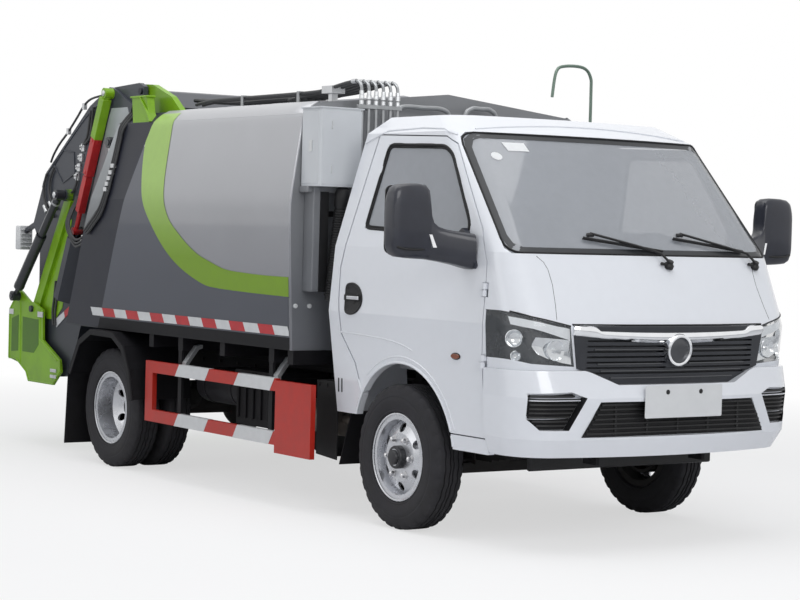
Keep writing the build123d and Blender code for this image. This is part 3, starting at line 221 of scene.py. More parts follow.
class Form:
    """The corners and faces of one piece, gathered from bent, turned and drawn parts."""

    def __init__(self):
        self.corners = []
        self.faces = []

    def skin(self, rows, ring=True, closed=False, ends=False):
        """Joins rows of points, all of one length, into a skin."""
        start, count = len(self.corners), len(rows[0])
        for row in rows:
            self.corners += [Vector(point) for point in row]
        for k in range(len(rows) if closed else len(rows) - 1):
            low, high = start + k * count, start + (k + 1) % len(rows) * count
            for i in range(count if ring else count - 1):
                j = (i + 1) % count
                self.faces.append((low + i, low + j, high + j, high + i))
        if ends:
            last = start + (len(rows) - 1) * count
            self.faces.append(tuple(start + i for i in reversed(range(count))))
            self.faces.append(tuple(last + i for i in range(count)))

    def turned(self, profile, centre, axis=(0, 1, 0), steps=32, first=0.0):
        """A profile of (radius, along) turned about an axis."""
        axis = Vector(axis).normalized()
        out = Vector((1, 0, 0)) if abs(axis.x) < 0.9 else Vector((0, 0, 1))
        out = (out - axis * out.dot(axis)).normalized()
        side = axis.cross(out)
        rows = []
        for k in range(steps):
            angle = first + 2 * math.pi * k / steps
            spoke = out * math.cos(angle) + side * math.sin(angle)
            rows.append([Vector(centre) + spoke * radius + axis * along for radius, along in profile])
        self.skin(rows, ring=False, closed=True)

    def rod(self, line, radius, sides=10, closed=False):
        """A round rod, pipe or hose along a line of points."""
        line = [Vector(point) for point in line]
        rows, across = [], None
        for k, point in enumerate(line):
            before = line[k - 1] if k > 0 or closed else line[k]
            after = line[(k + 1) % len(line)] if k + 1 < len(line) or closed else line[k]
            along = (after - before).normalized()
            if across is None:
                across = along.orthogonal().normalized()
            across = (across - along * across.dot(along)).normalized()
            other = along.cross(across)
            turns = [2 * math.pi * i / sides for i in range(sides)]
            rows.append([point + (across * math.cos(turn) + other * math.sin(turn)) * radius
                         for turn in turns])
        self.skin(rows, closed=closed, ends=not closed)

    def drawn(self, outline, axis, low, high):
        """A flat outline drawn out along an axis: x takes (y, z) points, y takes (x, z), z takes (x, y)."""
        def placed(a, b, level):
            return {"x": (level, a, b), "y": (a, level, b), "z": (a, b, level)}[axis]
        self.skin([[placed(a, b, level) for a, b in outline] for level in (low, high)], ends=True)

    def block(self, x, y, z):
        self.drawn([(x[0], z[0]), (x[1], z[0]), (x[1], z[1]), (x[0], z[1])], "y", y[0], y[1])

    def twin(self):
        """Adds the same again on the truck's other side."""
        start = len(self.corners)
        self.corners += [Vector((corner.x, -corner.y, corner.z)) for corner in self.corners]
        self.faces += [tuple(start + i for i in reversed(face)) for face in self.faces]
        return self

    def piece(self, name, finish, body, edge=0.0, crease=35.0):
        """Makes the object, rounds its edges and lets it ride on a body of the truck."""
        mesh = bpy.data.meshes.new(name)
        mesh.from_pydata([tuple(corner) for corner in self.corners], [], self.faces)
        mesh.validate()
        tidy = bmesh.new()
        tidy.from_mesh(mesh)
        bmesh.ops.remove_doubles(tidy, verts=tidy.verts, dist=1e-6)
        bmesh.ops.recalc_face_normals(tidy, faces=tidy.faces)
        tidy.to_mesh(mesh)
        tidy.free()
        mesh.shade_smooth()
        mesh.set_sharp_from_angle(angle=math.radians(crease))
        mesh.materials.append(finish)
        made = bpy.data.objects.new(name, mesh)
        truck_parts.objects.link(made)
        if edge:
            rounding = made.modifiers.new("rounded_edges", "BEVEL")
            rounding.width = edge
            rounding.segments = 2
            rounding.limit_method = "ANGLE"
            rounding.angle_limit = math.radians(40)
            rounding.harden_normals = True
        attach(made, body)
        return made


tyre_radius = 0.375
front_wheel_y, rear_inner_y, rear_outer_y = 0.815, 0.696, 0.916
tread_steps = 120
tyre_side = [(0.2036, 0.0640), (0.2280, 0.0660), (0.2310, 0.0760), (0.2340, 0.0838), (0.2400, 0.0872),
             (0.2450, 0.0858), (0.2500, 0.0880), (0.2700, 0.0908), (0.2900, 0.0922), (0.3060, 0.0912),
             (0.3085, 0.0900), (0.3130, 0.0900), (0.3155, 0.0908), (0.3340, 0.0868), (0.3480, 0.0815)]
tyre_shoulder = [(0.3580, 0.0775), (0.3665, 0.0730), (0.3725, 0.0660), (0.3742, 0.0600)]
tyre_tread = [(0.3748, 0.0440), (0.3670, 0.0425), (0.3670, 0.0365), (0.3750, 0.0350), (0.3750, 0.0145),
              (0.3670, 0.0130), (0.3670, 0.0065), (0.3750, 0.0050)]
half_profile = tyre_side + tyre_shoulder + tyre_tread
tread_from = len(tyre_side + tyre_shoulder)
rubber = surface("tyre_rubber", (0.016, 0.016, 0.020), rough=0.72, mottle=0.25, grain=0.4, grain_scale=320,
                 grime=0.10, gloss=0.3)


def tyre_form(form, x, y):
    """One tyre standing on the ground at x, y."""
    rows = []
    for k in range(tread_steps):
        spoke = 2 * math.pi * k / tread_steps
        row = []
        for sign in (1, -1):
            half = []
            for index, (radius, across) in enumerate(half_profile):
                if tread_from - len(tyre_shoulder) <= index < tread_from and k % 4 == 0:
                    radius, across = radius - 0.005, across - 0.003
                if index >= tread_from:
                    across += 0.0018 if (k + (sign > 0)) % 4 < 2 else -0.0018
                half.append((radius, sign * across))
            row += half if sign > 0 else half[::-1]
        rows.append([(x + radius * math.cos(spoke), y + across, tyre_radius + radius * math.sin(spoke))
                     for radius, across in row])
    form.skin(rows, ring=False, closed=True)


tyre_places = [
    ("front_tyre_left", front_axle_x, (front_wheel_y,), "wheel_front_left"),
    ("front_tyre_right", front_axle_x, (-front_wheel_y,), "wheel_front_right"),
    ("rear_tyres_left", rear_axle_x, (rear_inner_y, rear_outer_y), "wheels_rear_left"),
    ("rear_tyres_right", rear_axle_x, (-rear_inner_y, -rear_outer_y), "wheels_rear_right"),
]
for node, x, across, body in tyre_places:
    form = Form()
    for y in across:
        tyre_form(form, x, y)
    treaded = form.piece(node + "_tread", rubber, body, crease=28)
    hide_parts(node)

# Front wheels. Pressed steel discs painted silver, bulged outward, with six hand holes; six
# plated nuts hold each to its hub, whose grease cap stands in the middle.
wheel_silver = surface("wheel_silver", (0.58, 0.59, 0.62), rough=0.27, metal=0.75, coat=0.4, mottle=0.05,
                       grime=0.05)
plated = surface("plated_steel", (0.62, 0.62, 0.63), rough=0.22, metal=1.0, mottle=0.08)
hub_grey = surface("hub_grey", (0.030, 0.031, 0.035), rough=0.40, metal=0.4, mottle=0.15, grime=0.05)
valve_rubber = surface("valve_rubber", (0.02, 0.02, 0.02), rough=0.6, grain=0.2)
# Dark iron for the running gear, with its road dirt; laid on the rims' inboard faces it is painted shade.
cast_iron_and_shade = surface("dirty_iron_and_rim_shade", (0.022, 0.021, 0.021), rough=0.62, mottle=0.22, grain=0.5,
                    grime=0.15, gloss=0.2)
nut_circle, valve_circle = 0.1025, 0.196
front_face_y, rear_face_y = front_wheel_y + 0.062, 0.806
rim_half_width = 0.074
rim_lip = [(0.2180, 0.0), (0.2265, 0.0), (0.2290, 0.0030), (0.2275, 0.0062), (0.2230, 0.0070),
           (0.2180, 0.0040)]


def dress_faces(name, finishes, choose):
    """Gives each face of a CAD node one of several finishes, chosen by its centre and normal."""
    mesh = nodes[name].data
    mesh.materials.clear()
    for finish in finishes:
        mesh.materials.append(finish)
    for face in mesh.polygons:
        face.material_index = choose(face.center, face.normal)


def wheel_nuts(form, x, face_y, out):
    """Six domed hexagon nuts on their washers, standing out from a wheel's face."""
    for k in range(6):
        spoke = math.pi / 3 * k
        centre = (x + nut_circle * math.cos(spoke), face_y, tyre_radius + nut_circle * math.sin(spoke))
        form.turned([(0.0, 0.0005), (0.0200, 0.0005), (0.0200, 0.0040), (0.0, 0.0040)], centre, (0, out, 0),
                    20)
        form.turned([(0.0, 0.0040), (0.0148, 0.0040), (0.0148, 0.0190), (0.0, 0.0190)], centre, (0, out, 0),
                    6)
        form.turned([(0.0, 0.0185), (0.0122, 0.0185), (0.0118, 0.0240), (0.0070, 0.0275), (0.0, 0.0285)],
                    centre, (0, out, 0), 14)


for side, out in (("left", 1), ("right", -1)):
    body = "wheel_front_" + side
    # The rims' inboard faces, the barrel seen past the disc, take the dark iron as painted shade.
    dress_faces("front_rim_" + side, (wheel_silver, cast_iron_and_shade),
                lambda spot, normal: 1 if abs(spot.y) < 0.832 else 0)
    dress_faces("rear_rims_" + side, (wheel_silver, cast_iron_and_shade),
                lambda spot, normal: 1 if abs(spot.y) < 0.795 else 0)
    nuts = Form()
    wheel_nuts(nuts, front_axle_x, out * front_face_y, out)
    nuts.piece("front_wheel_nuts_" + side, plated, body)
    cap = Form()
    cap.turned([(0.0600, 0.0), (0.0600, 0.028), (0.0570, 0.0345), (0.0500, 0.0365), (0.0440, 0.0365),
                (0.0440, 0.0330), (0.0385, 0.0330), (0.0385, 0.0470), (0.0350, 0.0520), (0.0200, 0.0560),
                (0.0, 0.0565)], (front_axle_x, out * front_face_y, tyre_radius), (0, out, 0), 40)
    cap.piece("front_hub_cap_" + side, hub_grey, body)
    lip = Form()
    lip.turned(rim_lip, (front_axle_x, out * (front_wheel_y + rim_half_width), tyre_radius), (0, out, 0),
               72)
    valve = Vector((ahead(valve_circle * math.cos(2.1)), out * 0.842,
                    tyre_radius + valve_circle * math.sin(2.1)))
    lip.rod([valve, valve + Vector((0, out * 0.034, 0)), valve + Vector((-0.004, out * 0.052, 0.004))],
            0.0042)
    lip.piece("front_rim_lip_" + side, wheel_silver, body)

# Rear wheels. Twin wheels share one hub, so the outer disc is a deep dish with its nuts and
# the axle shaft's flange at the bottom of it.
for side, out in (("left", 1), ("right", -1)):
    body = "wheels_rear_" + side
    nuts = Form()
    wheel_nuts(nuts, rear_axle_x, out * (rear_face_y + 0.0095), out)
    nuts.piece("rear_wheel_nuts_" + side, hub_grey, body)
    flange = Form()
    flange.turned([(0.0760, 0.004), (0.0760, 0.030), (0.0720, 0.034), (0.0590, 0.034), (0.0590, 0.0600),
                   (0.0540, 0.0680), (0.0300, 0.0720), (0.0, 0.0725)],
                  (rear_axle_x, out * rear_face_y, tyre_radius), (0, out, 0), 40)
    for k in range(8):
        spoke = math.pi / 4 * k + 0.2
        bolt = (rear_axle_x + 0.066 * math.cos(spoke), out * (rear_face_y + 0.0335),
                tyre_radius + 0.066 * math.sin(spoke))
        flange.turned([(0.0, 0.0), (0.0062, 0.0), (0.0062, 0.007), (0.0, 0.007)], bolt, (0, out, 0), 6)
    flange.piece("rear_axle_flange_" + side, hub_grey, body)
    lip = Form()
    lip.turned(rim_lip, (rear_axle_x, out * (rear_outer_y + rim_half_width), tyre_radius), (0, out, 0), 72)
    lip.piece("rear_rim_lip_" + side, wheel_silver, body)

# Running gear. Forged and cast iron axles, leaf springs and the drive line hang below the
# frame, all sprayed black and grey with road dirt; knuckles are forgings on their king pins.
# The chassis black is the frame's own black paint; on the body's turned-under sill it is laid as painted
# shade.
chassis_black = surface("chassis_black", (0.006, 0.006, 0.008), rough=0.55, mottle=0.2, grain=0.12,
                        grime=0.06, gloss=0.16)
dress(cast_iron_and_shade, "front_axle_and_springs", "rear_axle_and_springs", "powertrain", *both("steering_knuckle"))
dress(chassis_black, "chassis_frame", "body_subframe", "mudguards")
brake = Form()
for x in (ahead(-0.10), rear_axle_x + 0.13):
    brake.turned([(0.0, -0.045), (0.060, -0.045), (0.072, -0.030), (0.074, 0.0), (0.072, 0.030),
                  (0.050, 0.050), (0.0, 0.050)], (x, 0.50, 0.44), (1, 0, 0.15), 24)
    brake.rod([(x, 0.50, 0.47), (x + 0.05, 0.48, 0.53), (x + 0.06, 0.40, 0.575)], 0.009)
brake.twin().piece("brake_chambers", cast_iron_and_shade, "truck")
rail_bolts = Form()
for x in [-1.86 + 0.22 * k for k in range(20)]:
    for z in (0.60, 0.68):
        rail_bolts.turned([(0.0, 0.0), (0.011, 0.0), (0.011, 0.007), (0.0, 0.007)], (x, 0.3745, z),
                          (0, 1, 0), 6)
rail_bolts.twin().piece("frame_bolts", cast_iron_and_shade, "truck", crease=25)

# Tank, battery and air. A pressed steel fuel tank hangs on the left under two straps, the
# battery case and an air reservoir on the right, and the silencer behind the cab.
# The fuel tank, the air reservoir and the battery box are near-black: their dark paint, darkened further as
# painted shade for the space under the body behind the guards.
tank_black_and_shade = surface("tank_black_and_shade", (0.016, 0.016, 0.020), rough=0.42, mottle=0.12, grime=0.08, gloss=0.25)
dress(tank_black_and_shade, "fuel_tank")
dress(chassis_black, "battery_box")
dress(surface("heat_dulled_steel", (0.16, 0.14, 0.125), rough=0.55, metal=0.7, mottle=0.3, grime=0.3),
      "exhaust_silencer")
straps = Form()
strap_line = [(0.419, 0.640), (0.421, 0.390), (0.436, 0.349), (0.480, 0.3285), (0.760, 0.3285),
              (0.805, 0.349), (0.8215, 0.390), (0.8215, 0.630), (0.805, 0.672), (0.760, 0.6915),
              (0.480, 0.6915), (0.440, 0.672)]
for x in (0.025, 0.485):
    rows = []
    for y, z in strap_line:
        outer_y, outer_z = y + (0.003 if y > 0.6 else -0.003), z + (0.003 if z > 0.5 else -0.003)
        rows.append([(x - 0.018, y, z), (x + 0.018, y, z), (x + 0.018, outer_y, outer_z),
                     (x - 0.018, outer_y, outer_z)])
    straps.skin(rows, closed=True)
straps.piece("fuel_tank_straps", chassis_black, "truck")
filler = Form()
filler.turned([(0.0, 0.0), (0.034, 0.0), (0.034, 0.020), (0.042, 0.022), (0.042, 0.040), (0.038, 0.046),
               (0.0, 0.047)], (0.46, 0.70, 0.688), (0, 0.25, 1), 28)
filler.piece("fuel_filler_cap", valve_rubber, "truck")
lid = Form()
lid.block((-0.084, 0.354), (-0.784, -0.406), (0.668, 0.702))
for k in range(5):
    lid.block((-0.06 + k * 0.085, -0.035 + k * 0.085), (-0.786, -0.772), (0.42, 0.65))
lid.block((0.10, 0.17), (-0.792, -0.774), (0.600, 0.690))
lid.piece("battery_lid", chassis_black, "truck", edge=0.004)
reservoir = Form()
reservoir.turned([(0.0, -0.300), (0.060, -0.292), (0.098, -0.262), (0.105, -0.235), (0.105, 0.235),
                  (0.098, 0.262), (0.060, 0.292), (0.0, 0.300)], (-0.44, -0.60, 0.560), (1, 0, 0), 30)
for x in (-0.60, -0.28):
    reservoir.turned([(0.104, -0.015), (0.109, -0.015), (0.109, 0.015), (0.104, 0.015)], (x, -0.60, 0.560),
                     (1, 0, 0), 30)
    reservoir.block((x - 0.014, x + 0.014), (-0.600, -0.3755), (0.655, 0.668))
reservoir.piece("air_reservoir", tank_black_and_shade, "truck")

# Cab. A welded steel shell in gloss white; black rubber seals hold the bonded windscreen and
# the door glass, and a thin gutter runs round the roof.
cab_white = surface("cab_white", (0.735, 0.755, 0.80), rough=0.38, coat=1.0, coat_rough=0.04, mottle=0.008,
                    grime=0.05)
black_plastic = surface("black_plastic", (0.011, 0.011, 0.012), rough=0.45, mottle=0.15, grain=0.25,
                        grain_scale=700, gloss=0.35)
seal_rubber = surface("seal_rubber", (0.010, 0.010, 0.011), rough=0.6, grain=0.2, grain_scale=400,
                      gloss=0.3)
screen_frit = surface("baked_black_border", (0.022, 0.024, 0.028), rough=0.35, mottle=0.1, gloss=0.4)
dress(cab_white, "cab_shell", "front_bumper", *both("door"))
# The glass is half opaque and grey: the grey stands in for the pale sky reflected in it, a painted
# reflection, beside the coat's real one.
glass = surface("window_glass_painted_reflection", (0.42, 0.445, 0.485), rough=0.06, mottle=0.02, coat=1.0, coat_rough=0.02)
shader = glass.node_tree.nodes["Principled BSDF"]
shader.inputs["Alpha"].default_value = 0.52
shader.inputs["IOR"].default_value = 1.5
dress(glass, "cab_glass", *both("door_glass"))


def outer_skin(*names):
    """A search tree over the faces of some CAD nodes."""
    corners, faces = [], []
    for name in names:
        mesh = nodes[name].data
        start = len(corners)
        corners += [corner.co.copy() for corner in mesh.vertices]
        faces += [[start + i for i in face.vertices] for face in mesh.polygons]
    return BVHTree.FromPolygons(corners, faces)


def laid(points, skin_tree, towards, lift=0.0, from_far=2.5):
    """Points moved along a direction until they meet a skin, then lifted off it."""
    towards = Vector(towards).normalized()
    found = []
    for point in points:
        start = Vector(point) - towards * from_far
        beside = towards.orthogonal().normalized()
        for shift in (Vector(), beside, -beside, beside.cross(towards), towards.cross(beside)):
            for reach in (0.006, 0.015):
                hit, normal = skin_tree.ray_cast(start + shift * reach, towards)[:2]
                if hit is not None:
                    break
            if hit is not None:
                hit = start + towards * (hit - start).dot(towards)
                break
        if hit is None:
            hit, normal = skin_tree.find_nearest(Vector(point))[:2]
        if normal.dot(towards) > 0:
            normal = -normal
        found.append(hit + normal * lift)
    return found


def filled_in(points, step):
    """The same line with points no further apart than step."""
    points = [Vector(point) for point in points]
    line = []
    for start, end in zip(points, points[1:]):
        count = max(1, math.ceil((end - start).length / step))
        line += [start.lerp(end, k / count) for k in range(count)]
    return line + [points[-1]]


def from_ahead(points, skin_tree, lift=0.0):
    """(y, z) points laid rearward onto a skin from ahead of the truck."""
    return laid([(3.0, y, z) for y, z in points], skin_tree, (-1, 0, 0), lift)


def rounded(points, reach, steps=4):
    """A closed outline of (a, b) points with its corners rounded."""
    out = []
    for k, corner in enumerate(points):
        corner = Vector(corner)
        before, after = Vector(points[k - 1]), Vector(points[(k + 1) % len(points)])
        cut = min(reach, (before - corner).length * 0.45, (after - corner).length * 0.45)
        start = corner + (before - corner).normalized() * cut
        end = corner + (after - corner).normalized() * cut
        for i in range(steps + 1):
            t = i / steps
            out.append(tuple(start.lerp(corner, t).lerp(corner.lerp(end, t), t)))
    return out


def shrunk(points, inset):
    """An outline of (a, b) points, its edges moved inward."""
    turning = sum(a[0] * b[1] - b[0] * a[1] for a, b in zip(points, points[1:] + points[:1]))
    sign = 1 if turning > 0 else -1
    out = []
    for k, (a, b) in enumerate(points):
        before, after = Vector(points[k - 1]), Vector(points[(k + 1) % len(points)])
        here = Vector((a, b))
        first, second = (here - before).normalized(), (after - here).normalized()
        normal = (Vector((-first.y, first.x)) + Vector((-second.y, second.x))) * sign
        if normal.length < 1e-6:
            continue
        normal.normalize()
        share = max(0.5, normal.dot(Vector((-first.y, first.x)) * sign))
        out.append(tuple(here + normal * inset / share))
    return out


screen_corners = [(-0.853, 1.449), (0.853, 1.449), (0.786, 2.042), (-0.786, 2.042)]
screen_outline = rounded(screen_corners, 0.06)
screen_skin = outer_skin("cab_glass")
cab_skin = outer_skin("cab_shell", "cab_glass", "front_bumper", "front_grille", "headlights")


def closed_line(outline, step):
    return filled_in([Vector((a, b, 0)) for a, b in outline + outline[:1]], step)[:-1]


border = Form()
rings = []
for inset in (0.004, 0.012, 0.020, 0.027):
    ring = rounded(shrunk(screen_corners, inset), 0.06, 6)
    count = 96
    line = [Vector((a, b)) for a, b in ring]
    lengths = [0.0]
    for a, b in zip(line, line[1:] + line[:1]):
        lengths.append(lengths[-1] + (b - a).length)
    row = []
    for k in range(count):
        goal = lengths[-1] * k / count
        i = max(j for j in range(len(line)) if lengths[j] <= goal + 1e-9)
        share = (goal - lengths[i]) / max(1e-9, lengths[i + 1] - lengths[i])
        spot = line[i].lerp(line[(i + 1) % len(line)], share)
        row.append((spot.x, spot.y))
    rings.append(from_ahead(row, screen_skin, 0.0012))
border.skin(rings)
border.piece("windscreen_border", screen_frit, "truck", crease=60)
seal = Form()
line = from_ahead([p.xy for p in closed_line(screen_outline, 0.05)], cab_skin, 0.0015)
seal.rod(line, 0.0062, 6, closed=True)
seal.piece("windscreen_seal", seal_rubber, "truck", crease=60)
stickers = Form()
for outline in ([(-0.600, 1.998), (-0.475, 1.998), (-0.465, 1.955), (-0.585, 1.955)],
                [(-0.665 + 0.030 * math.cos(t * 0.5236), 1.925 + 0.020 * math.sin(t * 0.5236))
                 for t in range(12)]):
    start = from_ahead(outline, screen_skin, 0.0014)
    stickers.corners += start
    stickers.faces.append(tuple(range(len(stickers.corners) - len(start), len(stickers.corners))))
white_card = surface("white_card", (0.75, 0.76, 0.77), rough=0.5, mottle=0.03)
stickers.piece("windscreen_stickers", white_card, "truck", crease=60)

# Wipers. Two pressed arms with rubber blades, sprung down on the screen from spindles in the
# scuttle below it, and parked towards the truck's right.
wipers = Form()
for root, elbow, tip, blade_from, blade_to in (
        ((0.060, 1.395), (0.015, 1.448), (-0.370, 1.535), (-0.415, 1.520), (0.045, 1.462)),
        ((0.700, 1.398), (0.650, 1.452), (0.215, 1.545), (0.165, 1.528), (0.640, 1.470))):
    wipers.rod(from_ahead(filled_in([root, elbow, tip], 0.05), cab_skin, 0.026), 0.0065, 8)
    for lift, thick in ((0.016, 0.0055), (0.007, 0.0040)):
        wipers.rod(from_ahead(filled_in([blade_from, blade_to], 0.05), cab_skin, lift), thick, 8)
    grip = from_ahead([tip], cab_skin, 0.012)[0]
    wipers.rod([grip + Vector((0.004, -0.018, 0)), grip + Vector((0.012, 0, 0.002)),
                grip + Vector((0.004, 0.020, 0))], 0.010, 8)
    base = from_ahead([root], cab_skin)[0]
    wipers.turned([(0.0, -0.004), (0.026, -0.004), (0.026, 0.012), (0.017, 0.022), (0.017, 0.034),
                   (0.0, 0.038)], base, (0.5, 0, 0.86), 20)
    small = [(root[0] - 0.055, root[1] + 0.010), (root[0], root[1] + 0.002)]
    wipers.rod(from_ahead(small, cab_skin, 0.014), 0.008, 8)
wipers.piece("wiper_arms_and_blades", black_plastic, "truck")

# Cab seams and small fittings. The gutter, the pressed line below the screen and the vent slits
# behind the doors are part of the shell or clipped into it.
ridges = Form()
for side in (1, -1):
    gutter = [(1.31, side * 0.825, 2.00), (1.50, side * 0.805, 2.062), (1.80, side * 0.800, 2.072),
              (2.00, side * 0.795, 2.062), (2.10, side * 0.790, 2.03)]
    ridges.rod(laid(filled_in(gutter, 0.06), cab_skin, (0, -side, 0), 0.001), 0.0055, 8)
roof_line = [(2.12, y, 2.5) for y in (-0.70, -0.35, 0.0, 0.35, 0.70)]
ridges.rod(laid(filled_in(roof_line, 0.1), cab_skin, (0, 0, -1), 0.0), 0.006, 8)
for x in (1.45, 1.62, 1.79):
    rib = [(x, y, 2.5) for y in (-0.52, 0.52)]
    ridges.rod(laid(filled_in(rib, 0.1), cab_skin, (0, 0, -1), -0.002), 0.010, 8)
ridges.piece("roof_gutter_and_ribs", cab_white, "truck")
seams = Form()
for side in (1, -1):
    seams.rod(from_ahead(filled_in([(side * 0.722, 1.435), (side * 0.690, 1.405), (side * 0.677, 1.37),
                                    (side * 0.674, 1.30), (side * 0.687, 1.20), (side * 0.705, 1.11)],
                                   0.04), cab_skin, -0.0006), 0.0016, 6)
    for x in (-0.592, -0.560):
        slit = [(ahead(x), side * 1.2, 0.667), (ahead(x) + 0.004, side * 1.2, 0.741)]
        seams.rod(laid(filled_in(slit, 0.02), cab_skin, (0, -side, 0), 0.0), 0.0045, 8)
seams.rod(from_ahead(filled_in([(-0.622, 1.1115), (-0.30, 1.1095), (0.30, 1.1095), (0.622, 1.1115)], 0.05),
                     cab_skin), 0.0040, 6)
for side in (1, -1):
    lamp_edge = [(side * 0.632, 1.1040), (side * 0.72, 1.1240), (side * 0.82, 1.1465),
                 (side * 0.885, 1.1695)]
    seams.rod(from_ahead(filled_in(lamp_edge, 0.03), cab_skin), 0.0040, 6)
seams.piece("cab_seams_and_vents", seal_rubber, "truck")

# Headlamps. A black housing holds a chromed dipped beam, a smaller upright lamp beside it and
# a bright strip along the top, all behind one clear moulded lens that wraps the cab's corner.
lamp_black = surface("lamp_housing_black", (0.02, 0.021, 0.024), rough=0.25, coat=0.5, mottle=0.15)
reflector = surface("reflector_chrome", (0.80, 0.82, 0.84), rough=0.10, metal=1.0, mottle=0.05)
strip_white = surface("daylight_strip", (0.78, 0.80, 0.82), rough=0.25, coat=0.6, mottle=0.03, glow=0.15)
clear_lens = surface("clear_lens", (0.30, 0.32, 0.34), rough=0.05, coat=1.0, coat_rough=0.02, mottle=0.02)
clear_lens.node_tree.nodes["Principled BSDF"].inputs["Alpha"].default_value = 0.22
housing, lens = Form(), Form()
mesh = nodes["headlights"].data
for face in mesh.polygons:
    side = 1 if face.center.y > 0 else -1
    outward = face.normal.dot(Vector((0.8, 0.6 * side, 0)))
    form = lens if outward > 0.3 and abs(face.normal.z) < 0.6 else housing
    start = len(form.corners)
    form.corners += [mesh.vertices[i].co.copy() for i in face.vertices]
    form.faces.append(tuple(range(start, start + len(face.vertices))))
headlamp_housing = housing.piece("headlamp_housing", lamp_black, "truck", crease=30)
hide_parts("headlights")
headlamp_lens = lens.piece("headlamp_lens", clear_lens, "truck", crease=50)
lamp_skin = outer_skin("headlights")
strip, bowls = Form(), Form()
for side in (1, -1):
    high = [(y, 1.083 + (y - 0.60) * 0.215) for y in (0.618, 0.66, 0.70, 0.74, 0.78, 0.82, 0.86, 0.89)]
    low = [(y, z - 0.054 + 0.065 * max(0.0, y - 0.62)) for y, z in high]
    rows = [from_ahead([(side * y, z) for y, z in line], lamp_skin, depth)
            for line, depth in ((high, -0.006), (low, -0.010), (low, -0.022), (high, -0.022))]
    strip.skin([list(row) for row in zip(*rows)], ends=True)
    spot = from_ahead([(side * 0.700, 0.985)], lamp_skin)[0]
    facing = Vector((1, side * 0.12, 0))
    bowls.turned([(0.052, -0.012), (0.049, -0.008), (0.044, -0.014), (0.030, -0.034), (0.012, -0.042),
                  (0.0, -0.042)], spot, facing, 32)
    bowls.turned([(0.0, -0.018), (0.010, -0.020), (0.0175, -0.028), (0.019, -0.040)], spot, facing, 20)
    upper = [(0.815, 1.020), (0.803, 1.049), (0.754, 1.046), (0.70, 1.042), (0.66, 1.039), (0.616, 1.035)]
    lower = [(0.808, 0.990), (0.790, 0.968), (0.745, 0.948), (0.70, 0.936), (0.66, 0.926), (0.608, 0.918)]
    rows = []
    for step in range(41):
        place = step / 8
        k = min(4, int(place))
        share = place - k
        high_spot = [upper[k][i] + (upper[k + 1][i] - upper[k][i]) * share for i in (0, 1)]
        low_spot = [lower[k][i] + (lower[k + 1][i] - lower[k][i]) * share for i in (0, 1)]
        depth = -0.012 - 0.010 * math.sin(math.pi * step / 40) - (0.003 if step % 2 else 0.0)
        points = from_ahead([(side * high_spot[0], high_spot[1]), (side * (high_spot[0] + low_spot[0]) / 2,
                       (high_spot[1] + low_spot[1]) / 2), (side * low_spot[0], low_spot[1])], lamp_skin)
        rows.append([points[0] + Vector((-0.009, 0, 0)), points[1] + Vector((depth - 0.006, 0, 0)),
                     points[2] + Vector((-0.009, 0, 0))])
    bowls.skin(rows, ring=False)
    for x, z, size in ((0.890, 1.040, 0.043), (0.880, 0.955, 0.026)):
        spot = from_ahead([(side * x * 0.985, z)], lamp_skin)[0]
        bowls.turned([(size, -0.010), (size * 0.92, -0.008), (size * 0.8, -0.016), (size * 0.4, -0.030),
                      (0.0, -0.032)], spot, Vector((1, side * 0.55, 0)), 26)
strip.piece("headlamp_bright_strip", strip_white, "truck")
bowls.piece("headlamp_reflectors", reflector, "truck")

# Grille. A moulded black panel with fine bright slats, framed along its top by a broad chrome
# bar with a dark slot; a plain ring badge is clipped to the middle.
grille_black = surface("grille_black", (0.022, 0.024, 0.030), rough=0.40, mottle=0.12, gloss=0.45)
chrome = surface("polished_chrome", (0.80, 0.81, 0.83), rough=0.13, metal=1.0, mottle=0.03, coat=0.3)
dull_chrome = surface("smoked_chrome", (0.085, 0.088, 0.095), rough=0.30, metal=0.8, mottle=0.06)
dress(grille_black, "front_grille")
bar_form = Form()
rows = []
for k in range(61):
    y = -0.622 + 1.244 * k / 60
    raised = min(1.0, max(0.0, (abs(y) - 0.475) / 0.030))
    top = 1.074 + 0.040 * y * y + raised * 0.020
    low = 1.022 + 0.095 * y * y
    points = from_ahead([(y, top - (top - low) * share) for share in (0.0, 0.14, 0.32, 0.50, 0.68, 0.86,
            1.0)], cab_skin)
    lifts = (0.002, 0.010, 0.0145, 0.0155, 0.0135, 0.009, 0.002)
    bulge = 0.010 * (1 - (y / 0.622) ** 2)
    rows.append([p + Vector((lift + bulge, 0, 0)) for p, lift in zip(points, lifts)]
                + [points[-1] + Vector((-0.004, 0, 0)), points[0] + Vector((-0.004, 0, 0))])
bar_form.skin(rows, ends=True)
bar_form.piece("grille_chrome_bar", chrome, "truck", crease=50)
slats = Form()
for z, reach in ((0.990, 0.50), (0.955, 0.49), (0.920, 0.48), (0.886, 0.46), (0.852, 0.40)):
    for start, end in ((-reach, -0.088), (0.088, reach)) if z > 0.90 else ((-reach, reach),):
        rows = []
        for k in range(17):
            y = start + (end - start) * k / 16
            base = from_ahead([(y, z)], cab_skin)[0]
            rows.append([base + Vector((-0.004, 0, 0.007)), base + Vector((0.004, 0, 0.004)),
                         base + Vector((0.006, 0, -0.001)), base + Vector((-0.004, 0, -0.004))])
        slats.skin(rows, ends=True)
slats.piece("grille_slats", dull_chrome, "truck", crease=40)
badge, badge_back = Form(), Form()
hub = from_ahead([(0.0, 0.990)], cab_skin)[0]
badge.turned([(0.0610, 0.000), (0.0610, 0.030), (0.0645, 0.037), (0.0710, 0.0395), (0.0775, 0.037),
              (0.0805, 0.029), (0.0805, 0.000)], hub + Vector((-0.002, 0, 0)), (1, 0, -0.10), 48)
badge_back.turned([(0.0, 0.0345), (0.022, 0.0340), (0.044, 0.0315), (0.056, 0.0270), (0.0625, 0.0240),
                   (0.0625, -0.004)], hub, (1, 0, -0.10), 40)
badge.piece("grille_ring", chrome, "truck")
badge_back.piece("grille_ring_disc", dull_chrome, "truck")

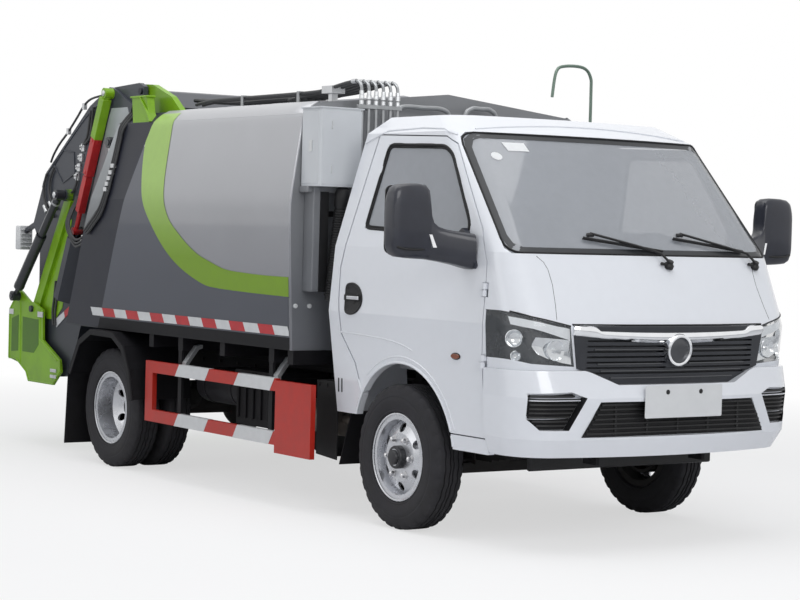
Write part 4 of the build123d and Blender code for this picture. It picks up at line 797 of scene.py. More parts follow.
# Bumper. One white moulding; black slatted inserts fill its fog lamp corners and the low air
# intake, and the blank number plate is screwed to the middle over a black valance.
inserts, bright_line = Form(), Form()
bumper_skin = outer_skin("front_bumper")
dress_faces("front_bumper", (cab_white, black_plastic), lambda spot, normal: 1 if normal.x < 0.45
            and 0.604 < spot.z < 0.792 and 0.568 < abs(spot.y) < 0.8515 and spot.x > ahead(0.98)
            and abs(normal.z) < 0.9 else 0)
fog_outline = [(0.580, 0.755), (0.652, 0.783), (0.843, 0.776), (0.843, 0.663), (0.797, 0.613),
               (0.668, 0.613)]
lower_outline = [(-0.490, 0.737), (0.490, 0.737), (0.588, 0.575), (-0.588, 0.575)]


def crossings(outline, level):
    """Where a level line enters and leaves a closed outline of (y, z) points."""
    found = []
    for (y0, z0), (y1, z1) in zip(outline, outline[1:] + outline[:1]):
        if (z0 - level) * (z1 - level) < 0:
            found.append(y0 + (y1 - y0) * (level - z0) / (z1 - z0))
    return min(found), max(found)


def slatted(form, outline, sign, levels, lift, thick=0.0065):
    """Level slats across an opening of the bumper."""
    for z in levels:
        low, high = crossings(outline, z)
        rows = []
        for k in range(13):
            y = sign * (low + 0.004 + (high - low - 0.008) * k / 12)
            base = from_ahead([(y, z)], bumper_skin)[0]
            rows.append([base + Vector((lift - 0.014, 0, thick)), base + Vector((lift, 0, thick * 0.6)),
                         base + Vector((lift + 0.002, 0, -thick * 0.5)),
                         base + Vector((lift - 0.014, 0, -thick))])
        form.skin(rows, ends=True)


for sign in (1, -1):
    slatted(inserts, fog_outline, sign, (0.628, 0.648, 0.668, 0.688, 0.708, 0.728), 0.014)
    slatted(inserts, fog_outline, sign, (0.768,), 0.014, 0.007)
    slatted(bright_line, fog_outline, sign, (0.748,), 0.020, 0.0035)
slatted(inserts, lower_outline, 1, (0.590, 0.613, 0.636, 0.659, 0.682, 0.705, 0.727), 0.014)
for y in (-0.40, -0.20, 0.0, 0.20, 0.40):
    inserts.rod(from_ahead(filled_in([(y, 0.580), (y, 0.734)], 0.03), bumper_skin, 0.005), 0.006, 6)
inserts.piece("bumper_inserts", black_plastic, "truck")
bright_line.piece("fog_corner_trim", cab_white, "truck")
intake = Form()
fog_pocket = [(0.5745, 0.7605), (0.6505, 0.7885), (0.8485, 0.7805), (0.8485, 0.6610), (0.7990, 0.6075),
              (0.6630, 0.6075)]
lower_pocket = [(-0.4955, 0.7405), (0.4955, 0.7405), (0.5955, 0.5715), (-0.5955, 0.5715)]
for outline, sign in ((fog_pocket, 1), (fog_pocket, -1), (lower_pocket, 1)):
    bottom, ceiling = min(z for _, z in outline) + 0.0002, max(z for _, z in outline) - 0.0002
    levels = sorted([bottom + (ceiling - bottom) * k / 11 for k in range(12)]
                    + [z for _, z in outline if bottom + 0.002 < z < ceiling - 0.002])
    rows = []
    for z in levels:
        low, high = crossings(outline, z)
        rows.append(from_ahead([(sign * (low + (high - low) * k / 40), z) for k in range(41)], bumper_skin,
                               0.0022))
    intake.skin(rows, ring=False)
intake.piece("bumper_intake_mesh", seal_rubber, "truck", crease=50)
plate, plate_back = Form(), Form()
front = from_ahead([(0.0, 0.735)], bumper_skin)[0].x
front = max(front, ahead(1.1755))
blank = rounded([(-0.252, 0.660), (0.252, 0.660), (0.252, 0.818), (-0.252, 0.818)], 0.008)
plate.drawn(blank, "x", front + 0.001, front + 0.0026)
plate.drawn(rounded([(-0.244, 0.668), (0.244, 0.668), (0.244, 0.810), (-0.244, 0.810)], 0.008), "x",
            front + 0.0020, front + 0.0032)
plate_grey = surface("blank_plate", (0.66, 0.67, 0.68), rough=0.40, mottle=0.02)
plate.piece("blank_number_plate", plate_grey, "truck", edge=0.0005)
for y in (-0.108, 0.108):
    plate_back.turned([(0.0095, 0.0028), (0.0120, 0.0034), (0.0120, 0.0050), (0.0060, 0.0058),
                       (0.0, 0.0058)], (front, y, 0.786), (1, 0, 0), 14)
plate_back.block((front - 0.045, front + 0.0006), (-0.10, 0.10), (0.672, 0.790))
plate_back.piece("plate_screws_and_pad", black_plastic, "truck")
valance = Form()
valance.skin([[(ahead(x), y, z) for x, z in ((0.70, 0.475), (0.705, 0.372), (0.720, 0.366), (0.735, 0.372),
                                             (0.735, 0.475))] for y in (-0.60, -0.3, 0.0, 0.3, 0.60)],
             ends=True)
valance.block((ahead(0.66), ahead(0.74)), (-0.33, 0.33), (0.475, 0.575))
valance.piece("front_valance", black_plastic, "truck", edge=0.004)

# Doors. White pressings hung on pinned hinges; each has a rubber seal round its glass, a black
# handle dish with a bright pull, a small side lamp, and a rolled lip over the wheel.
arch_centre, arch_lip = (front_axle_x, 0.410), 0.453
window_outline = [(-0.250, 1.990), (0.258, 1.976), (0.330, 1.935), (0.560, 1.578), (0.498, 1.386),
                  (0.328, 1.412), (0.060, 1.530), (-0.378, 1.548)]
dish_outline = [(-0.513, 1.250), (-0.445, 1.262), (-0.380, 1.240), (-0.346, 1.186), (-0.354, 1.138),
                (-0.400, 1.096), (-0.465, 1.083), (-0.515, 1.096)]
amber = surface("amber_lens", (0.20, 0.045, 0.012), rough=0.15, coat=0.8, mottle=0.1)


def arch_line(first, last, lift):
    """Points round the wheel arch, degrees from the front."""
    count = max(3, int(abs(last - first) / 5))
    turns = [math.radians(first + (last - first) * k / count) for k in range(count + 1)]
    reach = arch_lip + lift
    return [(arch_centre[0] + reach * math.cos(turn), arch_centre[1] + reach * math.sin(turn))
            for turn in turns]


for side, out in (("left", 1), ("right", -1)):
    body = "door_" + side
    door_skin = outer_skin("door_" + side, "door_glass_" + side)
    inward = (0, -out, 0)
    seal = Form()
    outline = rounded([(ahead(x), z) for x, z in window_outline], 0.045, 4)
    line = laid([(p.x, out * 1.5, p.y) for p in closed_line(outline, 0.05)], door_skin, inward, 0.001)
    seal.rod(line, 0.0085, 8, closed=True)
    inner = [(p.x, out * 1.5, p.y) for p in closed_line(shrunk(outline, 0.012), 0.05)]
    seal.rod(laid(inner, door_skin, inward, 0.0), 0.0060, 6, closed=True)
    seal.piece("door_window_seal_" + side, seal_rubber, body, crease=60)
    dish = Form()
    outline = rounded([(ahead(x), z) for x, z in dish_outline], 0.03, 4)
    rings = []
    for inset, lift in ((0.0, 0.0), (0.001, 0.005), (0.006, 0.0065), (0.011, 0.004), (0.020, 0.0015),
                        (0.050, 0.001)):
        ring = shrunk(outline, inset) if inset else outline
        rings.append(laid([(x, out * 1.5, z) for x, z in ring[:len(outline)]], door_skin, inward, lift))
    count = min(len(ring) for ring in rings)
    dish.skin([ring[:count] for ring in rings])
    dish.corners += rings[-1][:count]
    dish.faces.append(tuple(range(len(dish.corners) - count, len(dish.corners))))
    dish.piece("door_handle_dish_" + side, black_plastic, body)
    pull = Form()
    pull.block((ahead(-0.510), ahead(-0.380)), (out * 0.886, out * 0.9175), (1.1615, 1.1945))
    pull.piece("door_handle_grip_" + side, black_plastic, body, edge=0.006)
    bright = Form()
    bright.block((ahead(-0.480), ahead(-0.366)), (out * 0.912, out * 0.9215), (1.168, 1.188))
    bright.piece("door_handle_pull_" + side, chrome, body, edge=0.004)
    lip = Form()
    for line, thick in ((arch_line(17.5, 130.0, 0.0), 0.008), (arch_line(17.5, 130.0, 0.030), 0.005)):
        lip.rod(laid([(x, out * 1.5, z) for x, z in line], door_skin, inward, -0.001), thick, 8)
    crease = [(-0.560, 0.990), (-0.457, 0.989), (-0.30, 0.984), (-0.17, 0.978), (-0.059, 0.968),
              (0.033, 0.952), (0.110, 0.930)]
    lip.rod(laid(filled_in([(ahead(x), out * 1.5, z) for x, z in crease], 0.05), door_skin, inward,
                 -0.0025), 0.0050, 8)
    lip.piece("door_arch_lip_and_lines_" + side, cab_white, body, crease=60)
    lamp = Form()
    spot = laid([(ahead(0.489), out * 1.5, 0.926)], door_skin, inward, 0.0)[0]
    lens_outline = [(spot.x + 0.034 * math.cos(math.pi * i / 10),
                     0.9265 + 0.0135 * math.sin(math.pi * i / 10)) for i in range(20)]
    lamp.drawn(lens_outline, "y", spot.y - out * 0.002, spot.y + out * 0.010)
    lamp.piece("door_side_lamp_" + side, amber, body, edge=0.003)
    plinth = Form()
    plinth.drawn([(spot.x + (x - spot.x) * 1.14, 0.9265 + (z - 0.9265) * 1.3) for x, z in lens_outline],
                 "y", spot.y - out * 0.002, spot.y + out * 0.004)
    plinth.piece("door_side_lamp_base_" + side, black_plastic, body, edge=0.001)
arch_rest = Form()
for first, last in ((132.5, 160.0), (8.0, 15.0)):
    line = [(x, 1.5, z) for x, z in arch_line(first, last, 0.0)]
    arch_rest.rod(laid(line, cab_skin, (0, -1, 0), -0.001), 0.008, 8)
arch_rest.twin().piece("cab_arch_lips", cab_white, "truck", crease=60)

# Mirrors. Black moulded heads on stub arms from the door's corner; the glass faces rearward
# behind a thin bezel and a bright cap covers the arm's swivel.
mirror_black = surface("mirror_shell_black", (0.018, 0.020, 0.030), rough=0.34, coat=0.25, mottle=0.1,
                       grain=0.05, gloss=0.4)
silvered = surface("silvered_glass", (0.72, 0.76, 0.80), rough=0.03, metal=1.0, mottle=0.01)
dress(mirror_black, *both("mirror"))
mirror_sections = [(1.330, 1.474, 1.690, 0.478, 0.542), (1.3265, 1.446, 1.720, 0.467, 0.551),
                   (1.312, 1.424, 1.750, 0.4605, 0.558), (1.288, 1.413, 1.764, 0.459, 0.562),
                   (1.240, 1.408, 1.770, 0.459, 0.564), (1.180, 1.405, 1.771, 0.459, 0.564),
                   (1.140, 1.404, 1.766, 0.459, 0.562), (1.122, 1.403, 1.750, 0.461, 0.560),
                   (1.114, 1.402, 1.700, 0.464, 0.560), (1.110, 1.402, 1.642, 0.468, 0.562),
                   (1.096, 1.400, 1.590, 0.476, 0.567), (1.070, 1.396, 1.566, 0.486, 0.577),
                   (1.030, 1.389, 1.553, 0.498, 0.592), (0.980, 1.379, 1.545, 0.508, 0.614),
                   (0.935, 1.367, 1.540, 0.512, 0.634), (0.902, 1.360, 1.536, 0.516, 0.646)]
for side, out in (("left", 1), ("right", -1)):
    body = "door_" + side
    face, bezel, swivel = Form(), Form(), Form()
    back_x = ahead(0.458)
    shape = rounded([(out * 1.134, 1.430), (out * 1.316, 1.430), (out * 1.316, 1.756),
                     (out * 1.134, 1.756)], 0.035, 5)
    face.drawn(shrunk(shape, 0.003), "x", back_x - 0.0030, back_x + 0.001)
    face.piece("mirror_glass_" + side, silvered, body)
    line = closed_line(shape, 0.05)
    bezel.rod([(back_x - 0.001, p.x, p.y) for p in line], 0.0045, 8, closed=True)
    bezel.rod([(ahead(0.555), out * 1.150, 1.452), (ahead(0.566), out * 1.20, 1.450),
               (ahead(0.566), out * 1.27, 1.452), (ahead(0.555), out * 1.310, 1.462)], 0.006, 8)
    bezel.piece("mirror_bezel_" + side, black_plastic, body)
    shroud = Form()
    rows = []
    for y, low, high, back, ahead_x in mirror_sections:
        middle_x, middle_z = (back + ahead_x) / 2, (low + high) / 2
        row = []
        for i in range(32):
            c, s = math.cos(math.pi * i / 16), math.sin(math.pi * i / 16)
            c, s = math.copysign(abs(c) ** 0.42, c), math.copysign(abs(s) ** 0.42, s)
            row.append((ahead(middle_x) + c * (ahead_x - back) / 2, out * y,
                        middle_z + s * (high - low) / 2))
        rows.append(row)
    shroud.skin(rows, ends=True)
    shroud.drawn([(ahead(x), z) for x, z in ((0.508, 1.545), (0.536, 1.562), (0.560, 1.545), (0.652, 1.380),
                                             (0.640, 1.364), (0.560, 1.368), (0.508, 1.400))], "y",
                 out * 0.881, out * 0.912)
    made = shroud.piece("mirror_shell_" + side, mirror_black, body, crease=40)
    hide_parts("mirror_" + side)
    swivel.skin([[(ahead(0.5600), out * 1.130, 1.525), (ahead(0.5600), out * 1.110, 1.525),
                  (ahead(0.5680), out * 1.112, 1.525), (ahead(0.5660), out * 1.128, 1.525)],
                 [(ahead(0.5600), out * 1.110, 1.462), (ahead(0.5630), out * 1.088, 1.462),
                  (ahead(0.5790), out * 1.090, 1.462), (ahead(0.5720), out * 1.108, 1.462)]], ends=True)
    swivel.piece("mirror_arm_cap_" + side, chrome, body, edge=0.001)

# Inside the cab. Two foam seats in grey woven cloth on steel boxes over the engine cover, a
# moulded dashboard and a steering wheel on its raked column.
seat_cloth = surface("seat_cloth", (0.10, 0.105, 0.115), rough=0.92, mottle=0.22, mottle_scale=60,
                     grain=0.6, grain_scale=900)
seat_cloth.node_tree.nodes["Principled BSDF"].inputs["Sheen Weight"].default_value = 0.3
dash_grey = surface("dashboard_grey", (0.055, 0.058, 0.064), rough=0.6, mottle=0.08, grain=0.35,
                    grain_scale=600)
wheel_leather = surface("steering_wheel_grip", (0.022, 0.022, 0.023), rough=0.5, mottle=0.1, grain=0.3,
                        grain_scale=500)


def pad(form, sections, power=0.42, around=28):
    """A stuffed body through sections of (middle, half across, half through)."""
    rows = []
    for middle, across, through in sections:
        row = []
        for i in range(around):
            angle = 2 * math.pi * i / around
            c, s = math.cos(angle), math.sin(angle)
            c, s = math.copysign(abs(c) ** power, c), math.copysign(abs(s) ** power, s)
            row.append(Vector(middle) + Vector(across) * c + Vector(through) * s)
        rows.append(row)
    form.skin(rows, ends=True)


for side, out in (("left", 1), ("right", -1)):
    seat = Form()
    sections = []
    for k, (x, share) in enumerate(((-0.555, 0.80), (-0.545, 0.95), (-0.44, 1.0), (-0.33, 1.0),
                                    (-0.32, 0.955), (-0.31, 1.0), (-0.20, 1.03), (-0.19, 0.97),
                                    (-0.18, 1.03), (-0.06, 1.03), (0.02, 1.0), (0.05, 0.90),
                                    (0.058, 0.72))):
        sections.append(((ahead(x), out * 0.43, 1.066), (0, 0.236 * min(1.0, share), 0),
                         (0, 0, 0.066 * share)))
    pad(seat, sections)
    sections = []
    for z, share in ((1.135, 0.75), (1.15, 0.95), (1.24, 1.0), (1.25, 0.93), (1.26, 1.0), (1.36, 1.0),
                     (1.37, 0.93), (1.38, 1.0), (1.46, 0.98), (1.492, 0.86), (1.50, 0.70)):
        lean = (z - 1.13) / 0.37
        sections.append(((ahead(-0.540) + 0.035 * lean, out * 0.43, z),
                         (0, 0.236 * min(1.0, share + 0.02), 0), (0.056 * share * (1 - 0.12 * lean), 0, 0)))
    pad(seat, sections)
    sections = [((ahead(-0.491), out * 0.43, z), (0, 0.118 * share, 0), (0.036 * share, 0, 0))
                for z, share in ((1.515, 0.70), (1.525, 0.92), (1.58, 1.0), (1.63, 1.0), (1.668, 0.90),
                                 (1.678, 0.66))]
    pad(seat, sections)
    for y in (0.38, 0.48):
        seat.rod([(ahead(-0.495), out * y, 1.48), (ahead(-0.493), out * y, 1.53)], 0.007, 8)
    cushion = seat.piece("seat_" + side, seat_cloth, "truck", crease=50)
    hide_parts("cab_interior")
seat_boxes = Form()
seat_boxes.block((ahead(-0.438), ahead(0.018)), (0.302, 0.618), (0.832, 0.999))
seat_boxes.twin().piece("seat_boxes", dash_grey, "truck", edge=0.008)
dashboard = Form()
rows = []
for k in range(25):
    y = -0.775 + 1.55 * k / 24
    reach = 0.875 - 0.11 * (abs(y) / 0.775) ** 3
    hood = 0.020 * math.exp(-((y - 0.43) / 0.17) ** 2)
    rows.append([(ahead(x), y, z) for x, z in (
        (0.470, 1.150), (0.440, 1.200), (0.432, 1.300), (0.445, 1.355 + hood), (0.480, 1.383 + hood * 1.4),
        (0.560, 1.392 + hood * 0.3), (reach - 0.06, 1.390), (reach, 1.375), (reach, 1.230), (0.690, 1.218),
        (0.675, 1.150))])
dashboard.skin(rows, ends=True)
dashboard.block((ahead(0.562), ahead(0.688)), (-0.178, 0.178), (0.832, 1.155))
for y in (-0.62, -0.16, 0.16, 0.66):
    dashboard.drawn(rounded([(y - 0.055, 1.262), (y + 0.055, 1.262), (y + 0.055, 1.318),
                             (y - 0.055, 1.318)], 0.012), "x", ahead(0.424), ahead(0.440))
dashboard.piece("dashboard", dash_grey, "truck", crease=40)
steering = Form()
lean = math.radians(35)
wheel_centre = Vector((ahead(0.270), 0.430, 1.440))
wheel_axis = Vector((-math.sin(lean), 0, math.cos(lean)))
wheel_side = Vector((0, 1, 0))
wheel_up = wheel_axis.cross(wheel_side)
turns = [2 * math.pi * k / 40 for k in range(40)]
rim = [wheel_centre + (wheel_side * math.cos(turn) + wheel_up * math.sin(turn)) * 0.195 for turn in turns]
steering.rod(rim, 0.0145, 10, closed=True)
for angle in (200, 340, 90):
    out = wheel_side * math.cos(math.radians(angle)) + wheel_up * math.sin(math.radians(angle))
    steering.rod([wheel_centre - wheel_axis * 0.018, wheel_centre + out * 0.10 - wheel_axis * 0.010,
                  wheel_centre + out * 0.190], 0.012, 8)
steering.turned([(0.0, 0.012), (0.040, 0.010), (0.058, 0.0), (0.060, -0.020), (0.030, -0.050),
                 (0.024, -0.06), (0.024, -0.300), (0.0, -0.300)], wheel_centre, wheel_axis, 24)
steering.piece("steering_wheel", wheel_leather, "truck")

# Refuse body. A welded steel box with gently bowed sides: silver paint forward, dark grey along
# the foot and at the rear, a green sweep between them, and marking tape over its lower edge.
def lit_from_above(name, shaded_colour, lit_colour, low_z, high_z, **finish):
    """A finish whose colour passes from one to another up the truck: painted shade low down and painted
    light from the sky higher up.
    """
    made = surface(name, lit_colour, **finish)
    tree = made.node_tree
    scaled = next(node for node in tree.nodes if node.type == "VECT_MATH")
    place = next(node for node in tree.nodes if node.type == "TEX_COORD")
    axes = added(tree, "SeparateXYZ")
    join(tree, place.outputs["Object"], axes.inputs[0])
    share = added(tree, "MapRange", From_Min=low_z, From_Max=high_z)
    join(tree, axes.outputs["Z"], share.inputs["Value"])
    blended = added(tree, "Mix")
    blended.data_type = "RGBA"
    blended.inputs["A"].default_value = (*shaded_colour, 1)
    blended.inputs["B"].default_value = (*lit_colour, 1)
    join(tree, share.outputs["Result"], blended.inputs["Factor"])
    join(tree, blended.outputs["Result"], scaled.inputs[0])
    return made


# The silver, the dark grey, the front wall's grey and the green film are the body's two-tone paint and
# film; each passes from a darker tone low down to a lighter one high up, which is painted shade below and
# painted light from the sky above.
body_silver = lit_from_above("body_silver_paint_sky_shaded", (0.245, 0.247, 0.268), (0.42, 0.425, 0.445), 1.15, 2.15,
                    rough=0.36, metal=0.35, coat=0.6, mottle=0.035, mottle_scale=2.2, grain=0.02,
                    grain_scale=900)
body_grey = lit_from_above("body_grey_paint_sky_shaded", (0.056, 0.061, 0.078), (0.098, 0.105, 0.126), 0.9, 1.9, rough=0.40,
                  coat=0.25, mottle=0.05, mottle_scale=3.0, grime=0.10, gloss=0.35)
wall_grey = lit_from_above("front_wall_grey_sky_shaded", (0.150, 0.157, 0.172), (0.225, 0.230, 0.240), 1.1, 2.1, rough=0.42,
                  coat=0.2, mottle=0.05, mottle_scale=4.0)
frame_grey = surface("rear_frame_grey", (0.013, 0.015, 0.024), rough=0.45, mottle=0.12, mottle_scale=6.0,
                     grime=0.10, gloss=0.35)
sweep_green = lit_from_above("sweep_green_film_sky_shaded", (0.175, 0.315, 0.006), (0.350, 0.540, 0.130), 1.35, 1.80,
                    rough=0.42, coat=0.2, mottle=0.03, gloss=0.35)
# Faces below the tape and faces turned to the ground take the dark grey: the dark paint along the foot, and
# on the faces turned down, painted shade.
dress_faces("refuse_body", (body_silver, wall_grey, body_grey),
            lambda spot, normal: 1 if normal.x > 0.9 else (2 if spot.z < 0.95 or normal.z < -0.5 else 0))
hinge_green = surface("machine_green", (0.190, 0.385, 0.006), rough=0.42, coat=0.2, mottle=0.12,
                      mottle_scale=9.0, grain=0.03, grime=0.08, gloss=0.35)
dress_faces("body_rear_frame", (frame_grey, hinge_green),
            lambda spot, normal: 1 if 0.795 < abs(spot.y) < 0.845 and spot.z > 2.236 else 0)
side_line = [(0.8720, 1.0165), (1.10, 1.0255), (1.30, 1.0350), (1.50, 1.0425), (1.60, 1.0445),
             (1.69, 1.0430), (1.80, 1.0280), (1.95, 1.0045), (2.07, 0.9850), (2.150, 0.9700),
             (2.185, 0.9480), (2.215, 0.9150), (2.236, 0.8800)]
outer_sweep = [(-2.600, 2.215), (-2.668, 2.114), (-2.662, 1.899), (-2.596, 1.685), (-2.472, 1.534),
               (-2.298, 1.387), (-2.106, 1.284), (-1.859, 1.204), (-1.681, 1.182), (-1.30, 1.170),
               (-0.884, 1.163)]
inner_sweep = [(-2.360, 2.215), (-2.358, 2.090), (-2.343, 1.776), (-2.271, 1.596), (-2.115, 1.479),
               (-1.928, 1.383), (-1.747, 1.330), (-1.570, 1.292), (-1.35, 1.279), (-1.12, 1.272),
               (-0.884, 1.271)]


def through(points, count):
    """A smooth line through points, with count steps between each two."""
    points = [Vector((*point, 0)) if len(point) == 2 else Vector(point) for point in points]
    line = []
    for k in range(len(points) - 1):
        a, b = points[max(0, k - 1)], points[k]
        c, d = points[k + 1], points[min(len(points) - 1, k + 2)]
        for i in range(count):
            t = i / count
            line.append(0.5 * ((2 * b) + (c - a) * t + (2 * a - 5 * b + 4 * c - d) * t * t
                               + (3 * b - a - 3 * c + d) * t * t * t))
    return line + [points[-1]]


smooth_side = through(side_line, 6)


def side_y(z):
    """How far the bowed side stands out at a height."""
    for low, high in zip(smooth_side, smooth_side[1:]):
        if z <= high.x:
            return low.y + (high.y - low.y) * max(0.0, z - low.x) / (high.x - low.x)
    return smooth_side[-1].y


def rear_edge(z):
    return -2.930 + (z - 1.5) * 0.4663


def on_side(x, z, lift):
    return Vector((ahead(x), -side_y(z) - lift, z))


panel = Form()
rows = []
for spot in smooth_side:
    z = spot.x
    back, front = rear_edge(z) + 0.002, -0.8795
    rows.append([on_side(back, z, -0.012), on_side(back, z, 0.0), on_side(back + 0.2, z, 0.0),
                 on_side(front - 0.2, z, 0.0), on_side(front - 0.004, z, 0.0), on_side(front, z, -0.005),
                 on_side(front, z, -0.014)])
rows = [[p + Vector((0, 0.014, 0)) for p in rows[0]]] + rows + [[p + Vector((0, 0.02, -0.006))
        for p in rows[-1]]]
panel.skin(rows, ring=False)
panel.twin().piece("body_side_panels", body_silver, "truck", crease=50)
dark = Form()
rows = []
sweep_line = through(outer_sweep, 8)
for z in (0.940, 1.05, 1.12, 1.155):
    rows.append([on_side(rear_edge(z) + 0.004, z, 0.0012), on_side(-1.9, z, 0.0012),
                 on_side(-0.886, z, 0.0012)])
for spot in reversed(sweep_line):
    x, z = spot.x, spot.y
    if x > rear_edge(z) + 0.012:
        rows.append([on_side(rear_edge(z) + 0.004, z, 0.0012), on_side((rear_edge(z) + x) / 2, z, 0.0012),
                     on_side(x + 0.004, z, 0.0012)])
dark.skin(rows, ring=False)
dark.twin().piece("body_dark_paint", body_grey, "truck", crease=60)
sweep_form = Form()
rows = []
for outer, inner in zip(sweep_line, through(inner_sweep, 8)):
    row = []
    for k in range(9):
        spot = outer.lerp(inner, k / 8)
        row.append(on_side(max(spot.x, rear_edge(spot.y) + 0.005), spot.y, 0.0024))
    rows.append(row)
sweep_form.skin(rows, ring=False)
sweep_form.twin().piece("body_green_sweep", sweep_green, "truck", crease=60)
tape_white = surface("tape_white", (0.62, 0.63, 0.64), rough=0.32, coat=0.5, mottle=0.06, grain=0.25,
                     grain_scale=420)
tape_red = surface("tape_red", (0.45, 0.012, 0.018), rough=0.38, coat=0.2, mottle=0.08, grain=0.25,
                   grain_scale=420, gloss=0.4)
strips = (Form(), Form())
step = (3.301 - 0.886) / 15
for k in range(15):
    start = -3.301 + step * k
    rows = [[on_side(min(-0.884, start + step * i / 3 - (z - 0.975) * 0.55), z, 0.0030) for i in range(4)]
            for z in (0.949, 0.975, 1.001)]
    strips[k % 2].skin(rows, ring=False)
strips[0].twin().piece("body_tape_white", tape_white, "truck")
strips[1].twin().piece("body_tape_red", tape_red, "truck")
trims = Form()
wall_x = ahead(-0.880)
for y in (-0.991, -0.901):
    trims.turned([(0.0, 0.0), (0.013, 0.0), (0.013, 0.008), (0.009, 0.012), (0.0, 0.013)],
                 (wall_x, y, 1.114), (1, 0, 0), 16)
trims.piece("front_wall_studs", tape_white, "truck")
ribs = Form()
for x in (-1.35, -1.85, -2.35):
    ribs.drawn([(0.88, 2.226), (0.0, 2.3225), (0.0, 2.334), (0.88, 2.238)], "x", ahead(x) - 0.02,
               ahead(x) + 0.02)
ribs.twin().piece("body_roof_ribs", body_silver, "truck", edge=0.002)
# A near-black strip where the side panel's lower edge turns under, below the tape: painted shade.
shaded_sill = Form()
rows = [[on_side(x, z, lift) for x in (rear_edge(z) + 0.004, -1.9, -0.881)]
        for z, lift in ((0.8708, 0.0012), (0.905, 0.0012), (0.9405, 0.0012))]
shaded_sill.skin(rows, ring=False)
shaded_sill.twin().piece("body_sill_painted_shade", chassis_black, "truck", crease=60)
# The stiffeners' grey is paler than the plates and lightens towards the top: a painted reflection of the
# sky on their slanted faces.
stiffener_grey_sky_reflection = lit_from_above("stiffener_grey_sky_reflection", (0.150, 0.158, 0.165), (0.400, 0.425, 0.440), 1.50, 2.25,
                       rough=0.42, metal=0.1, coat=0.2, mottle=0.10, mottle_scale=6.0, gloss=0.4)


def frame_side(x, z, lift):
    """A point on the rear frame's flat side panels."""
    for (z0, y0), (z1, y1) in zip(((0.88, 1.015), (1.5, 1.04), (1.69, 1.04), (2.165, 0.965)),
                                  ((1.5, 1.04), (1.69, 1.04), (2.165, 0.965), (2.228, 0.89))):
        if z <= z1:
            break
    return Vector((ahead(x), -(y0 + (y1 - y0) * (z - z0) / (z1 - z0)) - lift, z))


leaf = Form()
rows = []
for spot in through([(1.500, -3.388), (1.535, -3.345), (1.570, -3.290), (1.640, -3.196), (1.690, -3.150),
                     (1.760, -3.116), (1.930, -3.088), (2.070, -3.062), (2.163, -3.040)], 4):
    z = spot.x
    back = -3.400 + (z - 1.5) * 0.4663 + 0.004
    rows.append([frame_side(back, z, 0.004), frame_side((back + max(spot.y, back + 0.004)) / 2, z, 0.004),
                 frame_side(max(spot.y, back + 0.004), z, 0.004),
                 frame_side(max(spot.y, back + 0.004), z, -0.003)])
leaf.skin(rows, ring=False)
leaf.twin().piece("rear_frame_stiffeners", stiffener_grey_sky_reflection, "truck", crease=45)
brackets = Form()
brackets.drawn([(ahead(x), z) for x, z in ((-2.925, 2.325), (-2.725, 2.325), (-2.705, 2.228),
                                           (-2.655, 2.160), (-2.905, 2.160))], "y", -0.962, -0.910)
brackets.drawn([(ahead(x), z) for x, z in ((-2.935, 2.333), (-2.715, 2.333), (-2.715, 2.321),
                                           (-2.935, 2.321))], "y", -0.970, -0.905)
brackets.skin([[(ahead(x), y, z) for x, z in ((-2.800, 2.325), (-2.705, 2.236), (-2.655, 2.170),
                                              (-2.675, 2.166))] for y in (-0.975, -0.962)], ends=True)
brackets.twin().piece("rear_frame_brackets", hinge_green, "truck", edge=0.003)

# Front wall equipment. A light steel locker with a seamed door, an intake post with a ribbed
# snorkel, the valve block, its six steel pipes and hoses over the roof, and two hose arches.
locker_grey = surface("locker_grey", (0.58, 0.60, 0.625), rough=0.40, coat=0.3, mottle=0.03,
                      mottle_scale=5.0)
pipe_steel = surface("pipe_steel", (0.34, 0.35, 0.36), rough=0.30, metal=0.85, mottle=0.12)
hose_rubber = surface("hose_rubber", (0.035, 0.036, 0.038), rough=0.55, mottle=0.12, grain=0.2,
                      grain_scale=500)
fitting_white = surface("zinc_fittings", (0.62, 0.63, 0.64), rough=0.30, metal=0.7, mottle=0.08)
vent_green = surface("vent_pipe_green", (0.13, 0.19, 0.15), rough=0.38, metal=0.3, coat=0.4, mottle=0.08)
arch_grey = surface("arch_pipe_grey", (0.30, 0.31, 0.32), rough=0.40, metal=0.4, coat=0.2, mottle=0.06)

locker = Form()
locker.drawn(rounded([(ahead(-0.879), -0.978), (ahead(-0.684), -0.978), (ahead(-0.684), -0.700),
                      (ahead(-0.879), -0.700)], 0.016), "z", 1.767, 2.190)
locker_box = locker.piece("locker", locker_grey, "truck", edge=0.004)
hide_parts("body_front_equipment")
door = Form()
door.block((ahead(-0.686), ahead(-0.6815)), (-0.966, -0.712), (1.780, 2.178))
door.block((ahead(-0.866), ahead(-0.700)), (-0.9800, -0.977), (1.782, 2.176))
door.block((ahead(-0.880), ahead(-0.680)), (-0.984, -0.698), (2.188, 2.197))
door.piece("locker_doors_and_lid", locker_grey, "truck", edge=0.002)
latch = Form()
for z in (1.86, 2.10):
    latch.rod([(ahead(-0.684), -0.905, z - 0.02), (ahead(-0.679), -0.905, z - 0.018),
               (ahead(-0.679), -0.905, z + 0.018), (ahead(-0.684), -0.905, z + 0.02)], 0.0035, 8)
latch.block((ahead(-0.790), ahead(-0.760)), (-0.985, -0.979), (1.955, 2.015))
latch.piece("locker_latches", fitting_white, "truck", edge=0.001)
post = Form()
post.block((wall_x, ahead(-0.781)), (-0.950, -0.905), (1.195, 1.767))
post.block((wall_x, ahead(-0.79)), (-0.985, -0.70), (1.735, 1.768))
post.piece("locker_post", wall_grey, "truck", edge=0.006)
intake = Form()
intake.block((wall_x, ahead(-0.785)), (-0.904, -0.850), (1.195, 1.740))
foot, head = Vector((ahead(-0.772), -0.832, 1.150)), Vector((ahead(-0.726), -0.795, 1.742))
